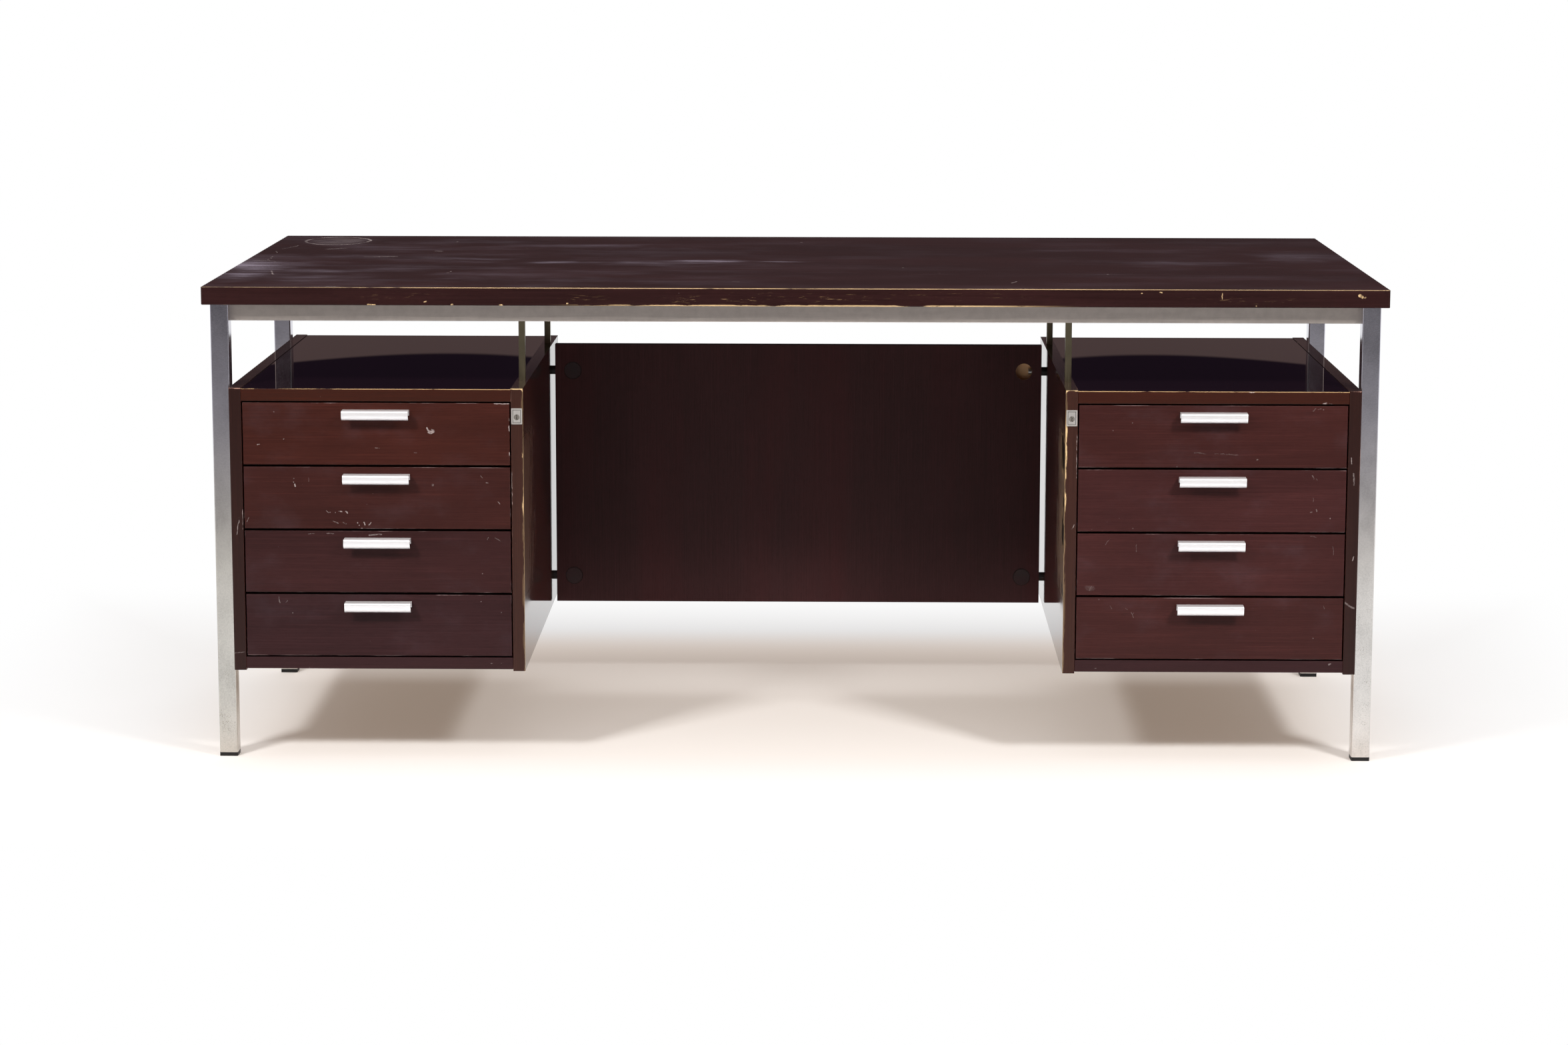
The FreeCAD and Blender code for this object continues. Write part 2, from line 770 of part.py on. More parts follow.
def build_drawer(name, side, index):
    drawer = name + "_drawer_" + str(index + 1)
    export(drawer + "_front", [drawer_front(side, index)])
    export(drawer + "_box", drawer_box(side, index))
    export(drawer + "_handle", [handle(side, index)])


def build_modesty():
    export("modesty_panel", [modesty_panel()])
    export("modesty_bolts", [modesty_bolt(side, z) for side, z in bolt_places()])
    export("modesty_spacers", [modesty_spacer(side, z) for side, z in bolt_places()])
    upper_right = (SIDES["right"], max(bolt_heights()))
    export("modesty_caps", [modesty_cap(side, z) for side, z in bolt_places() if (side, z) != upper_right])


os.makedirs("parts", exist_ok=True)
build_frame()
for side_name, side_sign in SIDES.items():
    build_pedestal(side_name, side_sign)
    for drawer_index in range(drawers_per_pedestal):
        build_drawer(side_name, side_sign, drawer_index)
build_modesty()
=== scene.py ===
"""Kneehole desk: finish and wear of every piece, floor, light and camera, in metres, with marks in mm."""
import math

import bpy
from mathutils import Matrix, Vector


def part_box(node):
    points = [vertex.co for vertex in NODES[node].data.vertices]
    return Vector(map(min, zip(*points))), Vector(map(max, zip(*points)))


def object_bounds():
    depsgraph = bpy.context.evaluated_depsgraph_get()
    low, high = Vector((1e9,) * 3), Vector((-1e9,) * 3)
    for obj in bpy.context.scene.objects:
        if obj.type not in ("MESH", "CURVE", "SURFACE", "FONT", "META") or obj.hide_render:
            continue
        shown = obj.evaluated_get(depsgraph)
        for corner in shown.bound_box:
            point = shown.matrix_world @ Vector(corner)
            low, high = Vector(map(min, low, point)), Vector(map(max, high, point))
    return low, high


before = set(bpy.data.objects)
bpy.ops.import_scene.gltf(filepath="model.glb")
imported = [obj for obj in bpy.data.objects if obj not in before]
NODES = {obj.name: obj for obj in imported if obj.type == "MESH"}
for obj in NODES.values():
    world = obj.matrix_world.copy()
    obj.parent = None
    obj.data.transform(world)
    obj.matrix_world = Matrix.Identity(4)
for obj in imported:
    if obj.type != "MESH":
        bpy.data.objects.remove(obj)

CAD_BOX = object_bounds()
SIDES = {"left": -1, "right": 1}
DRAWERS = range(1, 5)
MM = 0.001
X, Y, Z = 0, 1, 2

# A board's faces: an axis and its low or high end
ENDS = ("low", "high")
FRONT = (Y, "low")
BACK = (Y, "high")
UPPER = (Z, "high")
LOWER = (Z, "low")
KNEEHOLE = {"left": (X, "high"), "right": (X, "low")}

# Camera, fitted to the photograph's edges
IMAGE_WIDTH = 2352
SENSOR_MM = 36.0
CAMERA_PLACE = Vector((0.0658, -6.2200, 1.3209))
CAMERA_YAW = -0.01407
CAMERA_PITCH = -0.16181
CAMERA_ROLL = 0.00146
FOCAL_PIXELS = 5614.6

# Floor: its shade at places along Y, darker towards the camera as painted shade, and the stretches over
# which it turns white and loses the warm glow that paints bounce light into its shadow
FLOOR_REACH = 90.0
FLOOR_SHADE = 0.90
FLOOR_ROUGH = 0.9
FLOOR_PAINTED_SHADE_STOPS = ((-7.5, 0.22), (-4.95, 0.56), (-3.35, 0.72), (-2.55, 0.88), (-2.0, 1.0))
WHITE = (1.0, 1.0, 1.0)
WHITE_ASIDE = (1.0, 1.5)
WHITE_BEHIND = (0.25, 1.1)
WHITE_BEFORE = (-1.05, -0.62)
WHITE_IN_SIGHT = (-2.5, -1.98)
# near the desk a share of glow lifts the floor's shadow, and its warm colour is painted bounce light
NEAR_GLOW_SHARE = 0.26
PAINTED_BOUNCE_COLOUR = (1.0, 0.78, 0.61)
BOUNCE_FADE_ASIDE = (0.8, 1.1)
BOUNCE_FADE_BEFORE = (-0.7, -0.4)
BOUNCE_FADE_UP_TO = 0.6

# Lamps
SUN_STRENGTH = 0.5
SUN_SPREAD = math.radians(60)
SUN_LEAN = (0.0, -0.15, -1.0)
LAMP_STRENGTH = 13.5
LAMP_SIZE = (0.7, 0.7)
LAMP_PLACE = (2.3, -2.9, 3.0)
LAMP_TARGET = (0.66, -0.45, 0.35)
LAMP_SPREAD = math.radians(58)
LAMP_COLOUR = (1.0, 0.96, 0.92)
FRONT_STRENGTH = 45.0
FRONT_SIZE = (4.4, 1.6)
FRONT_PLACE = (0.0, -4.6, 4.6)
FRONT_TARGET = (0.0, 0.0, 0.4)
FRONT_SPREAD = math.radians(180)
REAR_STRENGTH = 60.0
REAR_PLACE = (0.0, 4.2, 4.4)
REAR_TARGET = (0.0, 0.3, 0.4)

# World: its colours, and the sines of the angles up or aside between which they change
BACKDROP_SINES = (0.1173, 0.1181)
BACKDROP_COLOUR = (0.125, 0.082, 0.080)
GAP_COLOUR = (0.016, 0.009, 0.016)
SIDE_SINES = (0.60, 0.95)
SIDE_COLOUR = (0.52, 0.42, 0.34)
SKY_SINES = (0.30, 0.80)
SKY_LEVEL = 0.5
SKY_COLOUR = (0.985, 0.99, 1.0)

# Softened arrises of the plain boards, in millimetres
ARRIS_JOIN = 0.01
ARRIS_WIDTH = 0.7
ARRIS_ANGLE = math.radians(50)


def srgb(red, green, blue):
    """A colour from 0 to 255 as the eye reads it, in the linear values that shaders take."""
    def linear(value):
        value /= 255.0
        return value / 12.92 if value <= 0.04045 else ((value + 0.055) / 1.055) ** 2.4
    return tuple(linear(v) for v in (red, green, blue))


def shade(colour, factor):
    return tuple(channel * factor for channel in colour)


# Stains
RED_STAIN = srgb(62, 27, 20)
PLUM_STAIN = srgb(48, 25, 27)
PINK_STAIN = srgb(61, 31, 32)
OUTER_STAIN = srgb(37, 15, 11)
INNER_STAIN = srgb(52, 27, 20)
FACE_STAIN = srgb(66, 34, 28)
STRIP_STAIN = srgb(51, 15, 2)
TOP_STAIN = srgb(38, 17, 17)
GLOSS_STAIN = srgb(19, 10, 15)
MODESTY_STAIN = srgb(61, 34, 35)
MODESTY_RED = srgb(78, 32, 34)

# Bare wood, wear and dirt, and painted shade, sheen and highlights
CREAM = srgb(226, 194, 146)
# a pale pink line on arrises: wear, and a painted highlight of the rounded arris
PINK_WEAR_AND_HIGHLIGHT = srgb(168, 130, 118)
EDGE_BARE = srgb(190, 156, 112)
HOLE_WOOD = srgb(204, 168, 128)
# painted shade inside the torn veneer slots
TORN_SLOT_SHADE = srgb(20, 12, 10)
SCUFFED_FACE = srgb(108, 88, 74)
DUSTY_EDGE = srgb(52, 39, 34)
# a pale grey line on drawer arrises: wear, and a painted highlight of the rounded arris
GREY_WEAR_AND_HIGHLIGHT = srgb(132, 112, 112)
SCRATCH = srgb(178, 166, 164)
# a pale bluish haze: worn lacquer, and a painted sheen that stands for the lacquer's reflection
HAZE_AND_SHEEN = srgb(176, 166, 184)
# painted shade round the modesty caps, with some grime
CAP_SHADE_AND_GRIME = srgb(16, 9, 9)
LOCK_GROOVE_SHADE_AND_GRIME = srgb(70, 64, 60)
PITS = srgb(104, 98, 66)

# Metals, plastics and plain wood; a leg has a tint high up and one low down, a painted reflection
LEG_REFLECTION_TINTS = {
    "left": (srgb(199, 197, 209), srgb(211, 207, 200)),
    "right": (srgb(211, 210, 222), srgb(226, 222, 218)),
}
RAIL_TINT = srgb(204, 195, 188)
HANGER_TINT = srgb(132, 124, 102)
STEEL_TINT = srgb(150, 150, 150)
PULL_TINT = srgb(245, 245, 248)
LOCK_TINT = srgb(228, 224, 219)
PLUG_TINT = srgb(200, 194, 184)
FOOT_TINT = srgb(22, 21, 21)
CAP_TINT = srgb(42, 23, 25)
BOX_TINTS = ((0.32, srgb(172, 132, 88)), (0.55, srgb(205, 168, 120)), (0.7, srgb(222, 190, 146)))

# Shading: where noise mostly lies, and the normal's share along an axis that makes a face turn that way
NOISE_SPAN = (0.3, 0.7)
FACING = (0.6, 0.95)


class Shader:
    """A material's nodes, with short ways to add and join them."""

    def __init__(self, name):
        self.material = bpy.data.materials.new(name)
        self.material.use_nodes = True
        self.tree = self.material.node_tree
        self.surface = self.tree.nodes["Principled BSDF"]
        self.place = self.node("ShaderNodeTexCoord").outputs["Object"]
        self.axes = self.split(self.place)

    def node(self, kind, **settings):
        made = self.tree.nodes.new(kind)
        for key, value in settings.items():
            setattr(made, key, value)
        return made

    def feed(self, socket, value):
        if isinstance(value, bpy.types.NodeSocket):
            self.tree.links.new(value, socket)
        elif socket.type == "RGBA" and len(value) == 3:
            socket.default_value = (*value, 1.0)
        else:
            socket.default_value = value

    def set(self, **values):
        """Sets the surface's sockets, whose names are written with underscores."""
        for key, value in values.items():
            self.feed(self.surface.inputs[key.replace("_", " ")], value)

    def split(self, value):
        made = self.node("ShaderNodeSeparateXYZ")
        self.feed(made.inputs[0], value)
        return made.outputs

    def math(self, operation, *values, clamp=False):
        made = self.node("ShaderNodeMath", operation=operation, use_clamp=clamp)
        for socket, value in zip(made.inputs, values):
            self.feed(socket, value)
        return made.outputs[0]

    def vector(self, operation, *values):
        made = self.node("ShaderNodeVectorMath", operation=operation)
        for socket, value in zip(made.inputs, values):
            self.feed(socket, value)
        single = operation in ("LENGTH", "DOT_PRODUCT", "DISTANCE")
        return made.outputs["Value" if single else "Vector"]

    def scale(self, value, factor):
        made = self.node("ShaderNodeVectorMath", operation="SCALE")
        self.feed(made.inputs[0], value)
        self.feed(made.inputs["Scale"], factor)
        return made.outputs["Vector"]

    def noise(self, cells, detail=3.0, roughness=0.55, shift=(0.0, 0.0, 0.0)):
        """Smooth noise from 0 to 1 with so many cells a metre, everywhere or along each axis."""
        if isinstance(cells, float):
            cells = (cells,) * 3
        spread = self.vector("MULTIPLY", self.place, cells)
        made = self.node("ShaderNodeTexNoise")
        self.feed(made.inputs["Vector"], self.vector("ADD", spread, shift))
        self.feed(made.inputs["Scale"], 1.0)
        self.feed(made.inputs["Detail"], detail)
        self.feed(made.inputs["Roughness"], roughness)
        return made.outputs[0]

    def wavered(self, cells, reach):
        """The place on the desk, shifted to and fro by up to a reach in mm, so many cells a metre."""
        made = self.node("ShaderNodeTexNoise")
        self.feed(made.inputs["Vector"], self.place)
        self.feed(made.inputs["Scale"], cells)
        self.feed(made.inputs["Detail"], 3.0)
        swing = self.vector("SUBTRACT", made.outputs["Color"], (0.5, 0.5, 0.5))
        return self.vector("ADD", self.place, self.scale(swing, reach * MM * 2))

    def spots(self, cells, size):
        """1 in small scattered spots, so many cells a metre, each spot a share of its cell."""
        made = self.node("ShaderNodeTexVoronoi")
        self.feed(made.inputs["Vector"], self.vector("MULTIPLY", self.place, (cells,) * 3))
        self.feed(made.inputs["Scale"], 1.0)
        return self.remap(made.outputs["Distance"], size * 0.5, size, 1.0, 0.0)

    def remap(self, value, low, high, to_low=0.0, to_high=1.0):
        """A smooth step from one level to another as a value goes from low to high."""
        made = self.node("ShaderNodeMapRange", interpolation_type="SMOOTHSTEP")
        for socket, given in zip(made.inputs, (value, low, high, to_low, to_high)):
            self.feed(socket, given)
        return made.outputs[0]

    def facing(self, axis, *ways):
        """1 where the surface faces up an axis, which is way 1, or down it, which is way -1."""
        along = self.split(self.node("ShaderNodeNewGeometry").outputs["Normal"])[axis]
        return self.most([self.remap(self.math("MULTIPLY", along, way), *FACING) for way in ways])

    def ramp(self, value, stops):
        made = self.node("ShaderNodeValToRGB")
        elements = made.color_ramp.elements
        elements.remove(elements[1])
        elements[0].position, first = stops[0]
        elements[0].color = (*first, 1.0)
        for position, colour in stops[1:]:
            elements.new(position).color = (*colour, 1.0)
        self.feed(made.inputs[0], value)
        return made.outputs[0]

    def blend(self, factor, first, second):
        made = self.node("ShaderNodeMix", data_type="RGBA")
        self.feed(made.inputs[0], factor)
        self.feed(made.inputs[6], first)
        self.feed(made.inputs[7], second)
        return made.outputs[2]

    def bump(self, height, distance):
        made = self.node("ShaderNodeBump")
        self.feed(made.inputs["Distance"], distance)
        self.feed(made.inputs["Height"], height)
        return made.outputs[0]

    def product(self, first, *others):
        for other in others:
            first = self.math("MULTIPLY", first, other)
        return first

    def average(self, first, second, share):
        """The mean of two patterns, the first weighted by a share."""
        parts = self.math("MULTIPLY", first, share), self.math("MULTIPLY", second, 1.0 - share)
        return self.math("ADD", *parts)

    def most(self, values):
        """The largest of several masks."""
        result = values[0]
        for value in values[1:]:
            result = self.math("MAXIMUM", result, value)
        return result

    def roughen(self, pattern, rough, least, greatest):
        """Lets the roughness follow a pattern, between two shares of its mean."""
        self.set(Roughness=self.remap(pattern, *NOISE_SPAN, rough * least, rough * greatest))


# Masks: a waver has cells a metre and a reach, and FAR is a patch's radius at right angles to its face

RAGGED_CELLS = 60.0
RAGGED_LIMITS = (0.72, 0.92)
RAGGED_SHARE = 0.44
LINE_WAVER = (120.0, 2.2)
RING_WAVER = (14.0, 7.0)
FAR = 1.0


def grain_cells(along, grain, across):
    cells = [across, across, across]
    cells[grain] = along
    return cells


def face_distance(shader, bounds, face):
    """How deep a point lies under one face of a board."""
    axis, end = face
    if end == "low":
        return shader.math("SUBTRACT", shader.axes[axis], bounds[0][axis])
    return shader.math("SUBTRACT", bounds[1][axis], shader.axes[axis])


def between(shader, value, rise, fall):
    """1 from the end of a rising stretch to the start of a falling one."""
    return shader.product(shader.remap(value, *rise), shader.remap(value, *fall, 1.0, 0.0))


def ragged_arris(shader, bounds, faces, width, share, cells):
    """1 along one arris of a board and 0 away from it, in ragged stretches, for bare wear and for painted
    arris highlights.
    """
    reach = shader.math("MAXIMUM", *[face_distance(shader, bounds, face) for face in faces])
    ragged = shader.noise(cells, detail=5.0, roughness=0.7)
    low, high = [limit - RAGGED_SHARE * share for limit in RAGGED_LIMITS]
    limit = shader.remap(ragged, low, high, 0.0, width)
    return shader.math("DIVIDE", shader.math("SUBTRACT", limit, reach), width * 0.5, clamp=True)


def stroke(shader, place, start, end, width):
    """A mark along a run between two points of the desk."""
    start = Vector(start)
    run = Vector(end) - start
    offset = shader.vector("SUBTRACT", place, start)
    if start == Vector(end):
        distance = shader.vector("LENGTH", offset)
    else:
        forward = shader.vector("DOT_PRODUCT", offset, run)
        along = shader.math("DIVIDE", forward, run.length_squared, clamp=True)
        distance = shader.vector("DISTANCE", offset, shader.scale(run, along))
    return shader.remap(distance, width * 0.3, width * 0.7, 1.0, 0.0)


def patch(shader, centre, radii, inner=0.0, place=None):
    """1 in the middle of an ellipsoid and 0 at its rim."""
    offset = shader.vector("DIVIDE", shader.vector("SUBTRACT", place or shader.place, centre), radii)
    return shader.remap(shader.vector("LENGTH", offset), inner, 1.0, 1.0, 0.0)


def patches(shader, shapes, lift, normal, place=None):
    """The strongest of several patches on a face, each a middle, two radii and a strength."""
    masks = []
    for middle, radii, strength in shapes:
        radii = [radius * MM for radius in radii]
        radii.insert(normal, FAR)
        masks.append(shader.math("MULTIPLY", patch(shader, lift(*middle), radii, place=place), strength))
    return shader.most(masks)


def ring(shader, centre, radii, width):
    """A ring on a level surface, of a width given as a share of its radius."""
    place = shader.wavered(*RING_WAVER)
    offset = shader.vector("DIVIDE", shader.vector("SUBTRACT", place, centre), radii)
    off_line = shader.math("ABSOLUTE", shader.math("SUBTRACT", shader.vector("LENGTH", offset), 1.0))
    return shader.remap(off_line, width * 0.3, width, 1.0, 0.0)


def drawn(shader, marks, lift, waver=LINE_WAVER):
    """The strongest of several ragged lines, each a list of points in a plane, a width and a strength."""
    place = shader.wavered(*waver)
    masks = []
    for points, width, strength in marks:
        places = [lift(*point) for point in points]
        runs = list(zip(places, places[1:])) or [(places[0], places[0])]
        line = shader.most([stroke(shader, place, a, b, width * MM) for a, b in runs])
        masks.append(shader.math("MULTIPLY", line, strength))
    broken = shader.remap(shader.noise(260.0), 0.34, 0.56, 0.3, 0.95)
    return shader.math("MULTIPLY", shader.most(masks), broken)


# Veneer: cells a metre along and across the grain, and shares of the stain

CLOUD_CELLS = (3.0, 9.0)
CLOUD_SHIFT = (0.0, 0.0, 4.0)
STREAK_CELLS = (6.0, 420.0)
PORE_CELLS = (70.0, 2300.0)
PORE_DEPTH = 0.005
DARK_STREAK = 0.42
PALE_STREAK = 1.75
DARK_PORE = 0.4
SPECK_GROUPS = (13.0, 13.0, 17.0)
SPECK_LIMITS = (0.62, 0.76)
SPECK_STRENGTH = 0.75


def veneer(shader, grain, stain, second):
    """Stained straight grain: cloudy patches of two stains, fine streaks and dark pores."""
    def figure(cells, **settings):
        return shader.noise(grain_cells(cells[0], grain, cells[1]), **settings)
    clouds = figure(CLOUD_CELLS, detail=4.0, shift=CLOUD_SHIFT)
    streaks = figure(STREAK_CELLS, detail=4.0, roughness=0.6)
    pores = figure(PORE_CELLS, detail=2.0)
    colour = shader.blend(shader.remap(clouds, 0.36, 0.64), stain, second)
    colour = shader.blend(shader.remap(streaks, 0.26, 0.5, 0.38, 0.0), colour, shade(stain, DARK_STREAK))
    colour = shader.blend(shader.remap(streaks, 0.5, 0.74, 0.0, 0.42), colour, shade(stain, PALE_STREAK))
    colour = shader.blend(shader.remap(pores, 0.54, 0.70, 0.0, 0.5), colour, shade(stain, DARK_PORE))
    return colour, streaks, pores


class Wood:
    """A stained piece whose colour is built up in layers."""

    def __init__(self, name, node, grain, stain, second=None):
        self.shader = Shader(name)
        self.node = node
        self.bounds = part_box(node)
        self.colour, self.streaks, self.pores = veneer(self.shader, grain, stain, second or stain)

    def over(self, mask, colour):
        self.colour = self.shader.blend(mask, self.colour, colour)

    def wear(self, faces, colour, width, share, along, where=None):
        """Colours the arris of two faces, up to a width in mm, with so many ragged cells a metre, as bare
        wear or as wear with a painted highlight.
        """
        run, = {X, Y, Z} - {axis for axis, end in faces}
        cells = grain_cells(along, run, RAGGED_CELLS)
        worn = ragged_arris(self.shader, self.bounds, faces, width * MM, share, cells)
        self.over(worn if where is None else self.shader.product(worn, where), colour)

    def specks(self, share, cells=85.0, size=0.05):
        """Tiny pale nicks, in loose groups."""
        low, high = [limit - share for limit in SPECK_LIMITS]
        groups = self.shader.remap(self.shader.noise(SPECK_GROUPS), low, high)
        self.over(self.shader.product(self.shader.spots(cells, size), groups, SPECK_STRENGTH), SCRATCH)

    def finish(self, rough, gloss, normal=None):
        """Ends the layers; the roughness is a number or a pattern, and pores show if no normal is given."""
        shader = self.shader
        shader.set(Base_Color=self.colour, Specular_IOR_Level=gloss)
        if isinstance(rough, float):
            shader.roughen(self.streaks, rough, 0.88, 1.12)
        else:
            shader.set(Roughness=rough)
        shader.set(Normal=shader.bump(self.pores, PORE_DEPTH * MM) if normal is None else normal)
        dress(self.node, shader)


def dress(node, shader):
    """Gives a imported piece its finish."""
    slots = NODES[node].data.materials
    slots.clear()
    slots.append(shader.material)


def soften(node):
    """Joins a board's faces along their edges and breaks the sharp arrises."""
    weld = NODES[node].modifiers.new("joined_faces", "WELD")
    weld.merge_threshold = ARRIS_JOIN * MM
    bevel = NODES[node].modifiers.new("soft_arris", "BEVEL")
    bevel.width = ARRIS_WIDTH * MM
    bevel.segments = 2
    bevel.limit_method = "ANGLE"
    bevel.angle_limit = ARRIS_ANGLE
    bevel.harden_normals = True


# Desk top: a line or chip has points, a width and a strength, and a cloud or scuff a middle and radii

TOP_LINES = (
    (((-869, 285), (-892, 190), (-886, 65), (-881, 1), (-863, -41), (-851, -26)), 1.7, 0.55),
    (((-881, 1), (-905, -12)), 2.6, 0.6), (((-848, -184), (-838, -243)), 3, 0.7),
    (((-731, 67), (-677, 70)), 6, 0.55), (((-816, 205), (-783, 226)), 5, 0.45),
    (((-623, 174), (-611, 171)), 4.5, 0.6), (((-561, -226), (-558, -189)), 2.6, 0.6),
    (((-572, -200), (-552, -212)), 2.4, 0.5), (((-98, -346), (-88, -350)), 2.4, 0.5),
    (((-58, -362), (-46, -364)), 2.4, 0.5), (((-25, -369), (-12, -372)), 2.4, 0.4),
    (((337, -362), (346, -332)), 2, 0.7), (((-603, 357),), 5, 0.8), (((-472, 224),), 4, 0.6),
    (((3, 363),), 4.5, 0.8), (((65, 287),), 4, 0.7), (((173, -106),), 3.4, 0.8),
    (((233, -202),), 3, 0.8), (((500, -210),), 3.4, 0.8), (((568, 20),), 4, 0.5),
    (((-727, -440), (-705, -444)), 3, 0.7),
)
TOP_CLOUDS = (
    ((-885, -95), (75, 130), 0.55), ((-890, -250), (75, 130), 0.55), ((-839, -81), (70, 60), 0.36),
    ((-781, -202), (120, 60), 0.2), ((-755, -299), (150, 70), 0.16), ((-460, -40), (130, 34), 0.2),
    ((-150, 5), (110, 34), 0.75), ((-30, -5), (60, 22), 0.45), ((-253, -40), (170, 60), 0.22),
    ((-420, -30), (70, 40), 0.4), ((-324, 294), (210, 50), 0.14), ((618, -30), (180, 60), 0.12),
    ((830, 80), (90, 160), 0.14), ((-815, 330), (110, 90), 0.2), ((-560, 30), (120, 30), 0.16),
    ((560, 210), (200, 40), 0.08),
)
EDGE_CHIPS = (
    (((-660, 719), (-650, 719)), 3, 0.9), (((-573, 724), (-570, 724)), 1.6, 0.8),
    (((-531, 719), (-529, 719)), 3, 0.9), (((-456, 719), (-453, 719)), 3, 0.9),
    (((-352, 722), (-350, 722)), 1.8, 0.8), (((661, 740), (661, 732)), 1.3, 0.7),
    (((872, 737), (876, 735.5)), 4.4, 1), (((881, 734.6),), 2.6, 0.8),
    (((713, 721), (714, 721)), 1.6, 0.7), (((565, 741), (568, 740.5)), 1.6, 0.8),
    (((536, 740), (537, 740)), 1.8, 0.8),
)
EDGE_SCUFFS = (
    ((-150, 728), (75, 8), 0.85), ((-60, 732), (70, 11), 0.7), ((60, 732), (110, 10), 0.5),
    ((-330, 730), (60, 8), 0.25), ((250, 734), (160, 10), 0.22), ((-620, 732), (140, 10), 0.12),
    ((700, 730), (150, 9), 0.18),
)
TOP_WAVER = (26.0, 9.0)
CLOUD_WAVER = (7.0, 70.0)
# the desk top's haze is partly painted sheen
SHEEN_HAZE_STRENGTH = 0.12
SHEEN_HAZE_TO_LEFT = (-0.85, 0.1)
RING_PLACE = (-815, 370)
RING_RADII = (57, 76)
RING_WIDTH = 0.06
RING_HAZE = 0.16
RIM_FROM_LEFT = (-0.80, -0.45)
RIM_TO_RIGHT = (0.3, 0.7)
KNEE_MIDDLE = 0.03
KNEE_REACH = (0.22, 0.42)
KNEE_CHIP_WIDTH = 2.8
KNEE_CHIP_CELLS = (14.0, 60.0, 90.0)


def on_top(x, y):
    return (x * MM, y * MM, CAD_BOX[1][Z])


def on_front(x, z):
    return (x * MM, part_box("desk_top")[0][Y], z * MM)


def top_haze_and_sheen(shader):
    """Worn lacquer haze, partly painted sheen: streaky and cloudy, thickest at the left, with wiped
    patches.
    """
    cloudy = shader.noise((5.0, 9.0, 9.0), detail=6.0, roughness=0.62, shift=(2.7, 0.3, 0.0))
    wiped = shader.noise((3.5, 70.0, 70.0), detail=5.0, roughness=0.6)
    streaky = shader.remap(wiped, 0.34, 0.64, 0.18, 1.0)
    to_left = shader.remap(shader.axes[X], *SHEEN_HAZE_TO_LEFT, 1.0, 0.34)
    sheen_haze = shader.product(shader.remap(cloudy, 0.42, 0.72), streaky, to_left, SHEEN_HAZE_STRENGTH)
    rubbed = patches(shader, TOP_CLOUDS, on_top, Z, shader.wavered(*CLOUD_WAVER))
    rubbed = shader.product(rubbed, shader.remap(cloudy, 0.34, 0.60, 0.10, 1.0), streaky)
    return shader.math("ADD", sheen_haze, rubbed, clamp=True)


def ring_mark(shader):
    """A pale broken ring with a faint haze inside it."""
    centre = on_top(*RING_PLACE)
    radii = (*[radius * MM for radius in RING_RADII], FAR)
    broken = shader.remap(shader.noise(16.0, detail=4.0), 0.34, 0.58, 0.12, 0.8)
    line = shader.product(ring(shader, centre, radii, RING_WIDTH), broken)
    inside = shader.product(patch(shader, centre, radii, 0.6), broken, RING_HAZE)
    return shader.most([line, inside])


def front_scuffs(shader):
    """Groups of long fine scrapes on the front edge."""
    scrapes = shader.noise((50.0, 50.0, 620.0), detail=4.0, roughness=0.65)
    return shader.product(patches(shader, EDGE_SCUFFS, on_front, Y), shader.remap(scrapes, 0.60, 0.68))


def wear_top(wood):
    """Bare wood along the top's arrises, most of it at the front and above the kneehole, and pink lines on
    the ends and back that are wear with a painted highlight.
    """
    shader = wood.shader
    along = shader.axes[X]
    from_left = shader.remap(along, *RIM_FROM_LEFT, 0.25, 0.9)
    rubbed = shader.product(from_left, shader.remap(along, *RIM_TO_RIGHT, 1.0, 0.6))
    wood.wear((FRONT, UPPER), CREAM, width=1.1, share=1.0, along=9.0, where=rubbed)
    wood.wear((FRONT, LOWER), CREAM, width=1.4, share=0.42, along=7.0)
    chips = ragged_arris(shader, wood.bounds, (FRONT, LOWER), KNEE_CHIP_WIDTH * MM, 0.95, KNEE_CHIP_CELLS)
    off_middle = shader.math("ABSOLUTE", shader.math("SUBTRACT", along, KNEE_MIDDLE))
    wood.over(shader.product(chips, shader.remap(off_middle, *KNEE_REACH, 0.9, 0.0)), CREAM)
    # pink lines on these arrises are wear with a painted highlight
    for end in ENDS:
        wood.wear(((X, end), FRONT), PINK_WEAR_AND_HIGHLIGHT, width=1.3, share=0.6, along=40.0)
        wood.wear(((X, end), UPPER), PINK_WEAR_AND_HIGHLIGHT, width=1.3, share=0.7, along=9.0)
    wood.wear((BACK, UPPER), PINK_WEAR_AND_HIGHLIGHT, width=1.3, share=0.5, along=9.0)


def dress_desk_top():
    wood = Wood("desk_top_veneer", "desk_top", X, TOP_STAIN, shade(TOP_STAIN, 1.3))
    shader = wood.shader
    up = shader.facing(Z, 1)
    wood.over(shader.math("MULTIPLY", top_haze_and_sheen(shader), up), HAZE_AND_SHEEN)
    marks = shader.most([ring_mark(shader), drawn(shader, TOP_LINES, on_top, TOP_WAVER)])
    wood.over(shader.math("MULTIPLY", marks, up), SCRATCH)
    wood.over(front_scuffs(shader), EDGE_BARE)
    wear_top(wood)
    wood.over(drawn(shader, EDGE_CHIPS, on_front), CREAM)
    wood.specks(share=0.0, cells=90.0, size=0.06)
    wood.finish(rough=0.34, gloss=0.18)


# Pedestals: lines as on the desk top, and a torn slot has a height, a depth and a half height

